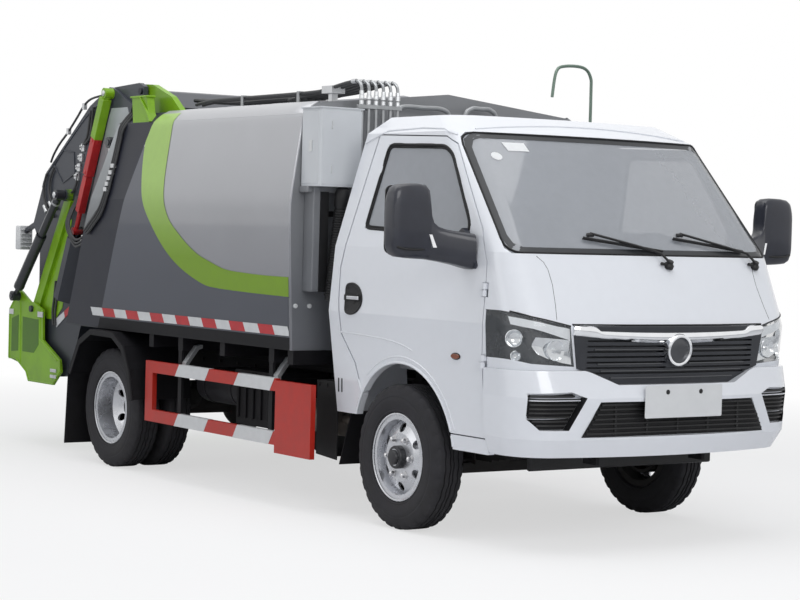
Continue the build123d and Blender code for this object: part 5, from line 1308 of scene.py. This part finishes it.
length = (head - foot).length
profile = [(0.0, 0.0), (0.034, 0.0)]
for k in range(34):
    along = 0.02 + (length - 0.12) * k / 34
    profile += [(0.0345, along), (0.0400, along + 0.006), (0.0400, along + 0.012), (0.0345, along + 0.018)]
profile += [(0.036, length - 0.09), (0.043, length - 0.08), (0.046, length - 0.02), (0.040, length + 0.012),
            (0.022, length + 0.026), (0.0, length + 0.028)]
intake.turned(profile, foot, head - foot, 20)
for z in (1.28, 1.62):
    spot = foot.lerp(head, (z - 1.15) / 0.592)
    intake.block((wall_x, spot.x), (spot.y - 0.012, spot.y + 0.012), (z - 0.015, z + 0.015))
intake.piece("ribbed_snorkel", black_plastic, "truck")
pipe_rows = [-0.716 + 0.0474 * k for k in range(6)]
valves = Form()
valves.block((wall_x, ahead(-0.684)), (-0.730, -0.460), (1.000, 1.120))
for y in pipe_rows:
    valves.block((wall_x, ahead(-0.680)), (y - 0.018, y + 0.018), (1.118, 1.192))
    valves.turned([(0.0, 0.0), (0.014, 0.0), (0.014, 0.03), (0.010, 0.034), (0.0, 0.034)],
                  (ahead(-0.70), y, 1.190), (0, 0, 1), 6)
valves.piece("valve_block", cast_iron_and_shade, "truck", edge=0.004)
uprights, runs, ends = Form(), Form(), Form()
x = ahead(-0.690)
for k, y in enumerate(pipe_rows):
    bend = [(x - 0.052 * (1 - math.cos(t * math.pi / 10)), y, 2.298 + 0.052 * math.sin(t * math.pi / 10))
            for t in range(6)]
    uprights.rod([(x, y, 1.195)] + bend, 0.0090, 10)
    reach = 2.440 if k < 2 else 1.500
    drop = [(ahead(-0.742), y, 2.350), (ahead(-0.85), y, 2.342), (ahead(-1.05), y, 2.316),
            (ahead(-1.25), y, 2.304), (ahead(-reach + 0.20), y, 2.300), (ahead(-reach), y, 2.290),
            (ahead(-reach - 0.12), y + 0.012, 2.282)]
    runs.rod(through(drop, 4), 0.0105, 10)
    for z, size in ((2.232, 0.0125), (2.262, 0.0145), (2.285, 0.0125)):
        ends.turned([(0.0, -0.011), (size, -0.011), (size, 0.011), (0.0, 0.011)], (x, y, z), (0, 0, 1), 6)
    ends.turned([(0.0, -0.02), (0.0135, -0.02), (0.0135, 0.02), (0.0, 0.02)], (ahead(-0.765), y, 2.350),
                (1, 0, 0), 8)
runs.block((ahead(-1.52), ahead(-1.46)), (-0.63, -0.46), (2.262, 2.312))
for start, end in (((-1.5, -0.58, 2.296), (-2.66, -0.66, 2.315)),
                   ((-1.5, -0.53, 2.296), (-2.68, -0.60, 2.320)),
                   ((-1.5, -0.50, 2.296), (-2.64, -0.54, 2.318))):
    line = through([(ahead(start[0]), start[1], start[2]), (ahead(-1.9), start[1] - 0.02, 2.292),
                    (ahead(-2.3), start[1] - 0.03, 2.290), (ahead(end[0]), end[1], end[2])], 6)
    runs.rod(line, 0.0125, 8)
ends.block((ahead(-1.065), ahead(-0.960)), (-0.738, -0.650), (2.292, 2.334))
ends.block((ahead(-1.030), ahead(-0.995)), (-0.715, -0.675), (2.248, 2.295))
uprights.piece("hydraulic_pipes", pipe_steel, "truck")
runs.piece("roof_hoses", hose_rubber, "truck")
ends.piece("pipe_unions", fitting_white, "truck", edge=0.001)
clamps = Form()
clamps.block((ahead(-0.702), ahead(-0.678)), (-0.740, -0.455), (2.198, 2.220))
clamps.block((wall_x, ahead(-0.690)), (-0.600, -0.575), (2.198, 2.214))
for x in (-1.32, -1.95):
    clamps.block((ahead(x - 0.012), ahead(x + 0.012)), (-0.738, -0.645), (2.304, 2.316))
    clamps.block((ahead(x - 0.012), ahead(x + 0.012)), (-0.738, -0.728), (2.245, 2.306))
clamps.piece("pipe_clamps", pipe_steel, "truck", edge=0.002)
vent = Form()
vent_line = through([(ahead(-0.80), 0.983, 1.650), (ahead(-0.80), 0.983, 2.00),
                     (ahead(-0.80), 0.983, 2.380), (ahead(-0.80), 0.975, 2.480),
                     (ahead(-0.80), 0.917, 2.531), (ahead(-0.80), 0.780, 2.531),
                     (ahead(-0.80), 0.716, 2.495), (ahead(-0.80), 0.690, 2.345)], 6)
vent.rod(vent_line, 0.0095, 10)
for z in (1.72, 1.95):
    vent.block((wall_x, ahead(-0.792)), (0.973, 0.993), (z - 0.012, z + 0.012))
vent.piece("vent_pipe", vent_green, "truck")
arches = Form()
for y_low, y_high, top in ((-0.420, -0.045, 2.245), (0.060, 0.287, 2.260)):
    line = through([(ahead(-0.80), y_low, 1.90), (ahead(-0.80), y_low, top - 0.08),
                    (ahead(-0.80), y_low + 0.045, top - 0.018),
                    (ahead(-0.80), (y_low + y_high) / 2, top - 0.014),
                    (ahead(-0.80), y_high - 0.045, top - 0.018), (ahead(-0.80), y_high, top - 0.08),
                    (ahead(-0.80), y_high, 1.90)], 5)
    arches.rod(line, 0.0140, 10)
    arches.block((wall_x, ahead(-0.79)), (y_low - 0.02, y_high + 0.02), (1.880, 1.910))
arches.piece("hose_arches", arch_grey, "truck")

# Guards. Pressed black wings over the rear wheels, rubber splash sheets behind the front ones,
# and red and white guards that hang on bent arms between the axles on both sides.
guard_red = surface("guard_red", (0.43, 0.014, 0.005), rough=0.42, coat=0.2, mottle=0.07, grime=0.08,
                    gloss=0.35)
guard_white = surface("guard_white", (0.62, 0.63, 0.64), rough=0.40, coat=0.2, mottle=0.05, grime=0.12)
dress_faces("side_guards", (guard_red, chassis_black), lambda spot, normal: 1 if abs(spot.y) < 1.0015
            and min(abs(spot.x - ahead(-1.100)), abs(spot.x - ahead(-2.150))) < 0.022 else 0)
guard_arms = Form()
for x in (-2.105, -1.055):
    line = [(-0.998, 0.700), (-0.998, 0.725), (-0.925, 0.822), (-0.885, 0.830), (-0.885, 0.808),
            (-0.910, 0.800), (-0.974, 0.716), (-0.974, 0.700)]
    guard_arms.skin([[(ahead(x) + shift, y, z) for y, z in line] for shift in (-0.0225, 0.0225)], ends=True)
guard_arms.twin().piece("side_guard_arms", arch_grey, "truck", edge=0.002)
splash = Form()
splash.drawn([(ahead(-0.640), 0.290), (ahead(-0.640), 0.712), (ahead(-0.850), 0.712),
              (ahead(-0.850), 0.305)], "y", -0.852, -0.847)
for x, z in ((-0.67, 0.69), (-0.75, 0.69), (-0.83, 0.69)):
    splash.turned([(0.0, 0.0), (0.010, 0.0), (0.010, 0.005), (0.0, 0.006)], (ahead(x), -0.852, z),
                  (0, -1, 0), 6)
splash.block((ahead(-0.86), ahead(-0.63)), (-0.847, -0.36), (0.690, 0.712))
splash.twin().piece("splash_sheets", seal_rubber, "truck")
sleeves = Form()
for start, end in ((-2.132, -1.769), (-1.434, -1.038)):
    for low, high in ((0.6385, 0.7115), (0.3415, 0.4175)):
        sleeves.drawn([(ahead(start - 0.025), low), (ahead(end - 0.025), low), (ahead(end + 0.025), high),
                       (ahead(start + 0.025), high)], "y", -1.0315, -0.9985)
sleeves.twin().piece("side_guard_white_bands", guard_white, "truck", edge=0.0008)
wing_edges = Form()
wing_line = [(-3.509, 0.569), (-3.373, 0.782), (-3.204, 0.860), (-2.895, 0.856), (-2.755, 0.782),
             (-2.667, 0.641), (-2.618, 0.460)]
wing_edges.rod([(ahead(x), -1.072, z - 0.004) for x, z in wing_line], 0.0085, 8)
wing_edges.twin().piece("wing_edges", chassis_black, "truck")

# Tailgate. Dark grey side plates and cover hung from the roof hinges; green outer beams and hopper
# cheeks, a stiffener behind each slide cylinder, paler as a painted sky reflection, and hoses clipped round
# it.
# The tailgate's grey lightens towards the top: painted shade low down and painted light from the sky higher
# up.
plate_grey_dark = lit_from_above("tailgate_grey_sky_shaded", (0.024, 0.028, 0.038), (0.042, 0.047, 0.060), 1.0, 2.2, rough=0.42,
                        coat=0.1, mottle=0.12, mottle_scale=5.0, grime=0.12, gloss=0.35)
# A darker copy of the machine green: painted shade, for the hopper inside the tailgate and for the bucket's
# recessed panels.
shaded_green = surface("hopper_green_painted_shade", (0.060, 0.160, 0.002), rough=0.45, mottle=0.14, mottle_scale=8.0,
                     grime=0.1, gloss=0.35)
beam_start, beam_end = Vector((ahead(-3.880), 1.700)), Vector((ahead(-4.378), 0.928))


def near_beam(spot):
    along = (beam_end - beam_start).normalized()
    offset = Vector((spot.x, spot.z)) - beam_start
    return abs(offset.cross(along)) < 0.062 and -0.06 < offset.dot(along) < 0.98


dress_faces("tailgate_shell", (plate_grey_dark, hinge_green),
            lambda spot, normal: 1 if abs(spot.y) > 0.9002 and near_beam(spot) and abs(spot.y) < 0.93
            else 0)
dress_faces("hopper_tub", (shaded_green, plate_grey_dark), lambda spot, normal: 1 if normal.x > 0.3
            and spot.x > ahead(-3.89) else 0)
cheeks = Form()
cheeks.drawn([(ahead(-3.868), 1.560), (ahead(-3.900), 1.450), (ahead(-3.918), 1.206),
              (ahead(-3.990), 0.964), (ahead(-4.096), 0.878), (ahead(-4.230), 0.880),
              (ahead(-4.335), 0.985), (ahead(-4.205), 1.180), (ahead(-4.010), 1.480)], "y", -0.9035, -0.899)
cheeks.twin().piece("hopper_cheeks", hinge_green, "tailgate", edge=0.001)
leaves = Form()
leaf_line = [(-3.690, 1.500), (-3.560, 1.485), (-3.420, 1.480), (-3.311, 1.712), (-3.217, 1.914),
             (-3.172, 2.010), (-3.121, 2.120), (-3.073, 2.225), (-3.100, 2.275), (-3.322, 2.275),
             (-3.364, 2.200), (-3.500, 1.908)]
leaves.drawn([(ahead(x), z) for x, z in leaf_line], "y", -0.9055, -0.899)
leaves.twin().piece("tailgate_stiffeners", stiffener_grey_sky_reflection, "tailgate", edge=0.002)
seams = Form()
cover_edge = [(-4.380, 1.800), (-4.310, 1.890), (-3.973, 2.110), (-3.650, 2.300), (-3.400, 2.360)]
seams.rod(through([(ahead(x + 0.040), -0.901, z - 0.030) for x, z in cover_edge], 5), 0.0050, 8)
seams.rod([(ahead(-4.02), -0.901, 1.80), (ahead(-4.16), -0.901, 1.92), (ahead(-4.02), -0.901, 2.02),
           (ahead(-3.86), -0.901, 2.00), (ahead(-3.84), -0.901, 1.86)], 0.006, 8, closed=True)
seams.twin().piece("tailgate_weld_lines", plate_grey_dark, "tailgate")
tapes = (Form(), Form())
tapes[0].drawn([(ahead(-4.087), 0.880), (ahead(-3.959), 0.940), (ahead(-3.945), 0.898),
                (ahead(-4.070), 0.828)], "y", -0.9048, -0.9030)
tapes[1].drawn([(ahead(-3.955), 0.942), (ahead(-3.822), 1.004), (ahead(-3.815), 0.960),
                (ahead(-3.941), 0.900)], "y", -0.9048, -0.9000)
tapes[0].twin().piece("tailgate_tape_white", tape_white, "tailgate")
tapes[1].twin().piece("tailgate_tape_red", tape_red, "tailgate")
hoses, clips = Form(), Form()
for k in range(3):
    line = [(-3.432, 1.487, 0.985), (-3.485, 1.462, 0.987), (-3.571, 1.430, 0.987), (-3.646, 1.428, 0.987),
            (-3.708, 1.470, 0.987), (-3.741, 1.535, 0.985), (-3.748, 1.604, 0.960), (-3.752, 1.664, 0.925),
            (-3.760, 1.710, 0.906)]
    path = [(ahead(x), -y, z - 0.021 * k) for x, z, y in line[:4]] + [(ahead(x - 0.019 * k), -y, z)
            for x, z, y in line[4:]]
    hoses.rod(through(path, 4), 0.0085, 8)
for path in ([(-4.142, 1.900), (-4.201, 1.830), (-4.212, 1.730), (-4.162, 1.664), (-4.08, 1.62)],
             [(-4.260, 1.860), (-4.300, 1.780), (-4.290, 1.690), (-4.225, 1.620), (-4.12, 1.57)],
             [(-3.568, 2.290), (-3.585, 2.200), (-3.600, 2.100), (-3.690, 2.050)],
             [(-3.606, 2.270), (-3.622, 2.190), (-3.650, 2.100), (-3.730, 2.030)],
             [(-3.775, 1.860), (-3.800, 1.790), (-3.850, 1.740), (-3.93, 1.725)],
             [(-4.080, 1.140), (-4.098, 1.030), (-4.120, 0.930), (-4.105, 0.840)],
             [(-4.050, 1.120), (-4.062, 1.010), (-4.080, 0.920), (-4.070, 0.840)]):
    hoses.rod(through([(ahead(x), -0.911, z) for x, z in path], 4), 0.0080, 8)
edge_run = [(-3.330, 2.372, 0.880), (-3.569, 2.352, 0.905), (-3.690, 2.312, 0.912), (-3.800, 2.232, 0.912),
            (-3.945, 2.130, 0.912), (-4.060, 2.062, 0.912), (-4.150, 1.990, 0.912), (-4.200, 1.940, 0.908)]
hoses.rod(through([(ahead(x), -y, z) for x, z, y in edge_run], 4), 0.0075, 8)
for x, z in ((-3.707, 2.030), (-3.735, 1.965), (-3.765, 1.900), (-3.785, 1.840)):
    clips.block((ahead(x - 0.022), ahead(x + 0.018)), (-0.914, -0.900), (z - 0.026, z + 0.026))
    clips.turned([(0.0, 0.0), (0.012, 0.0), (0.012, 0.010), (0.007, 0.012), (0.007, 0.020), (0.0, 0.020)],
                 (ahead(x - 0.006), -0.912, z + 0.008), (0, -1, 0), 6)
    clips.turned([(0.0, 0.0), (0.010, 0.0), (0.010, 0.022), (0.0, 0.024)],
                 (ahead(x - 0.020), -0.908, z - 0.012), (-1, 0, 0.3), 6)
for x, z in ((-4.170, 1.640), (-4.255, 1.615)):
    clips.turned([(0.0, -0.045), (0.0125, -0.045), (0.0125, 0.0), (0.0155, 0.0), (0.0155, 0.022),
                  (0.0, 0.022)], (ahead(x), -0.912, z), (0.75, 0, -0.66), 8)
for x, z in ((-3.93, 2.142), (-3.70, 2.300)):
    clips.block((ahead(x - 0.014), ahead(x + 0.014)), (-0.922, -0.898), (z - 0.022, z + 0.020))
hoses.twin().piece("tailgate_hoses", hose_rubber, "tailgate")
clips.twin().piece("hose_clips_and_valves", fitting_white, "tailgate", edge=0.002)

# Hoses of the rear frame. Three rubber hoses run down each post of the frame to the tailgate's
# hinge line, held in a row of plated clips, and end in the body's side.
frame_hoses, frame_clips = Form(), Form()
for k, shift in enumerate((0.0, 0.021, 0.042)):
    line = [(-3.030, 2.155), (-3.046, 2.080), (-3.062, 1.960), (-3.082, 1.850), (-3.104, 1.740),
            (-3.175, 1.622), (-3.290, 1.540), (-3.372, 1.488)]
    path = [frame_side(x + shift, z - shift * 0.5, 0.0130) for x, z in line]
    path = [path[0] + Vector((0.02, 0.06, 0.085))] + path
    frame_hoses.rod(through(path, 4), 0.0085, 8)
for x, z in ((-3.040, 1.900), (-3.052, 1.858), (-3.064, 1.822), (-3.076, 1.786), (-3.088, 1.752)):
    spot = frame_side(x, z, 0.014)
    frame_clips.block((spot.x - 0.020, spot.x + 0.018), (spot.y - 0.014, spot.y + 0.010),
                      (z - 0.014, z + 0.012))
frame_hoses.twin().piece("rear_frame_hoses", hose_rubber, "truck")
frame_clips.twin().piece("rear_frame_clips", fitting_white, "truck", edge=0.002)

# Slot covers. A folded steel cover is welded over each slot in which the slide's pin travels
# along the tailgate's side plate.
slide_lean = math.radians(25)
slant = Vector((math.sin(slide_lean), 0, math.cos(slide_lean)))
athwart = Vector((math.cos(slide_lean), 0, -math.sin(slide_lean)))
slide_pin = Vector((ahead(-3.7347), 0, 1.4802))
slot_section = [(-0.080, 0.8995), (-0.032, 0.974), (0.032, 0.974), (0.080, 0.8995), (0.074, 0.8995),
                (0.030, 0.970), (-0.030, 0.970), (-0.074, 0.8995)]
slot_guard = Form()
for out in (1, -1):
    slot_guard.skin([[slide_pin - slant * distance + athwart * across + Vector((0, out * y, 0))
                      for across, y in slot_section] for distance in (0.056, 0.500)], ends=True)
slot_guard.piece("slide_slot_guards", plate_grey_dark, "tailgate", edge=0.001)

# Slide cylinders and packer. Each slide cylinder is green where it hangs and has a red guard
# down to the rod; the packer plate and its sweep are dark, worn steel inside the hopper.
slide_red = surface("guard_tube_red", (0.44, 0.012, 0.014), rough=0.42, coat=0.2, mottle=0.12, gloss=0.35)
rod_chrome = surface("rod_chrome", (0.66, 0.67, 0.68), rough=0.14, metal=1.0, mottle=0.05)
worn_steel = surface("worn_hopper_steel", (0.13, 0.125, 0.12), rough=0.48, metal=0.6, mottle=0.3,
                     mottle_scale=12.0, grain=0.15)
slide_top = Vector((ahead(-3.3205), 0, 2.3684))
slide_y = 0.937
dress_faces("slide_cylinders", (hinge_green, slide_red),
            lambda spot, normal: 0 if (slide_top - Vector((spot.x, 0, spot.z))).dot(slant) < 0.31 else 1)


def box_section(middle, half, out, inner):
    """The four corners of a folded guard round a slide cylinder."""
    return [middle + athwart * half + Vector((0, out * half, 0)),
            middle - athwart * half + Vector((0, out * half, 0)),
            middle - athwart * half - Vector((0, out * inner, 0)),
            middle + athwart * half - Vector((0, out * inner, 0))]


sheath, red_tube, rod_guard = Form(), Form(), Form()
for out in (1, -1):
    top = slide_top + Vector((0, out * slide_y, 0))
    for form, start, end, half in ((sheath, 0.035, 0.315, 0.0335), (red_tube, 0.312, 0.575, 0.0305)):
        form.skin([box_section(top - slant * distance, half, out, 0.026) for distance in (start, end)],
                  ends=True)
    for distance in (0.33, 0.555):
        red_tube.turned([(0.030, -0.012), (0.0345, -0.012), (0.0345, 0.012), (0.030, 0.012)],
                        top - slant * distance, slant, 20)
    rod_guard.skin([box_section(top - slant * distance, half, out, 0.022)
                    for distance, half in ((0.583, 0.0235), (0.590, 0.0265), (0.835, 0.0265),
                                           (0.842, 0.0235))], ends=True)
sheath.piece("slide_cylinder_guard_upper", hinge_green, "tailgate", edge=0.004)
red_tube.piece("slide_cylinder_guard_lower", slide_red, "tailgate", edge=0.004)
rod_guard.piece("slide_rod_guard", slide_red, "packer_slide", edge=0.003)
dress_faces("packer_slide", (worn_steel, slide_red), lambda spot, normal: 1 if abs(spot.y) > 0.915 else 0)
dress(worn_steel, "sweep_panel")
ribs = Form()
for y in (-0.55, -0.20, 0.20, 0.55):
    ribs.skin([[slide_pin + slant * distance + Vector((0, y + half, 0)) - athwart * depth
                for half, depth in ((0.03, 0.040), (-0.03, 0.040), (-0.03, 0.070), (0.03, 0.070))]
               for distance in (0.14, 0.70)], ends=True)
ribs.piece("packer_ribs", worn_steel, "packer_slide", edge=0.004)

# Lift and bucket cylinders. Dark painted barrels with plated rods, rod eyes on greased pins
# and dark protective bands; the bucket's pair tips it into the hopper.
cylinder_dark = surface("cylinder_dark", (0.020, 0.022, 0.027), rough=0.36, coat=0.3, mottle=0.12,
                        gloss=0.4)
dress(cylinder_dark, "lift_barrels", "bucket_barrels", "bucket_rods")
dress_faces("lift_rods", (rod_chrome, cylinder_dark), lambda spot, normal: 1 if spot.z > 1.99 else 0)
bands, guards = Form(), Form()
bucket_base, bucket_eye = Vector((ahead(-3.900), 0, 1.716)), Vector((ahead(-4.570), 0, 1.020))
along = (bucket_eye - bucket_base).normalized()
bucket_cylinder_y = 0.985
for out in (1, -1):
    base = bucket_base + Vector((0, out * bucket_cylinder_y, 0))
    bands.turned([(0.0255, -0.008), (0.0285, -0.006), (0.0285, 0.006), (0.0255, 0.008)],
                 base + along * 0.075, along, 22)
    guards.turned([(0.0320, 0.376), (0.0365, 0.376), (0.0370, 0.380), (0.0370, 0.395), (0.0355, 0.400),
                   (0.0355, 0.846), (0.0370, 0.850), (0.0370, 0.866), (0.0345, 0.882), (0.0165, 0.886),
                   (0.0165, 0.868), (0.0320, 0.860)], base, along, 28)
bands.piece("bucket_cylinder_bands", arch_grey, "bucket_barrels")
guards.piece("bucket_cylinder_guards", cylinder_dark, "bucket_rods")
pin_caps = Form()
for place, low, high, size in ((bucket_base, 1.018, 1.024, 0.022), (slide_top, 0.960, 0.968, 0.020)):
    pin_caps.turned([(0.0, low), (size, low), (size, high), (size * 0.7, high + 0.003),
                     (0.0, high + 0.003)], place, (0, -1, 0), 6)
pin_caps.twin().piece("tailgate_pin_caps", fitting_white, "tailgate", edge=0.001)

# Loading bucket. Green plate with folded edges and recessed panels, whose shade is painted in a darker
# green; it hangs on the tailgate's beams, and white fittings and a pair of hoses stand at its hinge.
dress(hinge_green, "loading_bucket")
cheek_y = 0.9455
recess, folds, bucket_fit = Form(), Form(), Form()
# Thin patches of the darker green on the bucket's sides: painted shade in its recessed panels.
recess.drawn([(ahead(-4.520), 0.880), (ahead(-4.330), 0.872), (ahead(-4.262), 0.872),
              (ahead(-4.255), 0.700), (ahead(-4.330), 0.640), (ahead(-4.515), 0.640)], "y",
             -cheek_y - 0.0017, -cheek_y)
recess.drawn([(ahead(-4.700), 0.860), (ahead(-4.585), 0.890), (ahead(-4.585), 0.640),
              (ahead(-4.700), 0.630)], "y", -cheek_y - 0.0017, -cheek_y)
recess.twin().piece("bucket_recesses_painted_shade", shaded_green, "bucket", edge=0.0004)
for x0, z0, x1, z1 in ((-4.560, 0.995, -4.545, 0.560), (-4.240, 0.945, -4.232, 0.740),
                       (-4.232, 0.740, -3.960, 0.610)):
    folds.rod([(ahead(x0), -cheek_y, z0), (ahead(x1), -cheek_y, z1)], 0.0060, 8)
folds.rod([(ahead(x), -0.9460, z) for x, z in ((-4.738, 0.920), (-4.610, 1.035), (-4.590, 1.050))], 0.0060,
          8)
folds.rod([(ahead(x), -0.9460, z) for x, z in ((-3.912, 0.610), (-3.906, 0.545), (-4.020, 0.452),
                                               (-4.410, 0.450), (-4.448, 0.506), (-4.618, 0.585),
                                               (-4.738, 0.585), (-4.738, 0.918))], 0.0055, 8)
folds.twin().piece("bucket_folded_edges", hinge_green, "bucket")
bucket_fit.block((ahead(-4.735), ahead(-4.665)), (-0.953, -0.945), (0.888, 0.925))
bucket_fit.block((ahead(-4.270), ahead(-4.190)), (-0.953, -0.945), (0.888, 0.925))
for z in (0.50, 0.54):
    bucket_fit.block((ahead(-4.05), ahead(-3.96)), (-0.955, -0.945), (z - 0.010, z + 0.012))
bucket_fit.twin().piece("bucket_fittings", fitting_white, "bucket", edge=0.002)
lip = Form()
for z in (0.605, 0.885):
    lip.block((ahead(-4.753), ahead(-4.744)), (-0.900, 0.900), (z - 0.014, z + 0.014))
for y in (-0.886, -0.45, 0.0, 0.45, 0.886):
    lip.block((ahead(-4.7525), ahead(-4.744)), (y - 0.014, y + 0.014), (0.595, 0.895))
lip.piece("bucket_rear_ribs", hinge_green, "bucket", edge=0.003)
rear_tapes = (Form(), Form())
for k in range(12):
    y = -0.87 + 0.145 * k
    if abs(y + 0.0725) > 0.14:
        rear_tapes[k % 2].block((ahead(-4.7462), ahead(-4.7445)), (y, y + 0.145), (0.640, 0.690))
rear_tapes[0].piece("bucket_tape_white", tape_white, "bucket")
rear_tapes[1].piece("bucket_tape_red", tape_red, "bucket")

# Rear lamps. A white work lamp, and on each lower hip of the cover a black housing with red, amber
# and clear lenses; the cover has folded edges.
lamp_white = surface("work_lamp_white", (0.66, 0.67, 0.68), rough=0.35, coat=0.5, mottle=0.04)
red_lens = surface("red_lens", (0.36, 0.006, 0.008), rough=0.12, coat=0.8, mottle=0.08)
amber_rear = surface("amber_rear_lens", (0.60, 0.16, 0.01), rough=0.12, coat=0.8, mottle=0.08)
work_lamp = Form()
work_lamp.drawn(rounded([(-0.912, 1.338), (-0.818, 1.338), (-0.818, 1.505), (-0.912, 1.505)], 0.012), "x",
                ahead(-4.7440), ahead(-4.668))
for k in range(5):
    work_lamp.block((ahead(-4.668), ahead(-4.655)), (-0.905, -0.825),
                    (1.354 + 0.030 * k, 1.362 + 0.030 * k))
work_lamp.piece("work_lamp", lamp_white, "tailgate", edge=0.004)
lamp_glass = Form()
lamp_glass.block((ahead(-4.7450), ahead(-4.740)), (-0.902, -0.828), (1.350, 1.492))
lamp_glass.piece("work_lamp_glass", clear_lens, "tailgate", edge=0.001)
cover_skin = outer_skin("tailgate_shell")


def on_cover(y, z, lift=0.0):
    """A point on the back of the tailgate's cover."""
    return laid([(ahead(-5.4), y, z)], cover_skin, (1, 0, 0), lift)[0]


housings, reds, ambers, clears, folds = Form(), Form(), Form(), Form(), Form()
for side in (1, -1):
    for form, y0, y1, z0, z1, lift in ((housings, 0.560, 0.850, 1.640, 1.730, 0.018),
                                       (reds, 0.745, 0.842, 1.648, 1.722, 0.026),
                                       (ambers, 0.660, 0.740, 1.648, 1.722, 0.026),
                                       (clears, 0.568, 0.655, 1.648, 1.722, 0.026)):
        rows = []
        for y in (y0, y0 + 0.006, y1 - 0.006, y1):
            rise = lift if y0 < y < y1 else lift - 0.006
            rows.append([on_cover(side * y, z0, -0.004), on_cover(side * y, z0, rise - 0.006),
                         on_cover(side * y, z0 + 0.006, rise), on_cover(side * y, z1 - 0.006, rise),
                         on_cover(side * y, z1, rise - 0.006), on_cover(side * y, z1, -0.004)])
        form.skin(rows, ends=True)
housings.piece("rear_lamp_housings", black_plastic, "tailgate", crease=30)
reds.piece("rear_lamp_red", red_lens, "tailgate", crease=40)
ambers.piece("rear_lamp_amber", amber_rear, "tailgate", crease=40)
clears.piece("rear_lamp_clear", clear_lens, "tailgate", crease=40)
for y in (-0.868, 0.868):
    folds.rod([on_cover(y, z, 0.002) for z in (1.60, 1.68, 1.76, 1.84, 1.92, 2.00, 2.08, 2.16, 2.24)],
              0.0075, 8)
for z in (1.950, 2.180):
    folds.rod([on_cover(y, z, 0.000) for y in (-0.86, -0.43, 0.0, 0.43, 0.86)], 0.0090, 8)
for y in (-0.30, 0.30):
    folds.rod([on_cover(y, z, 0.000) for z in (1.60, 1.76, 1.92, 2.08, 2.24)], 0.0080, 8)
folds.piece("tailgate_cover_folds", plate_grey_dark, "tailgate")
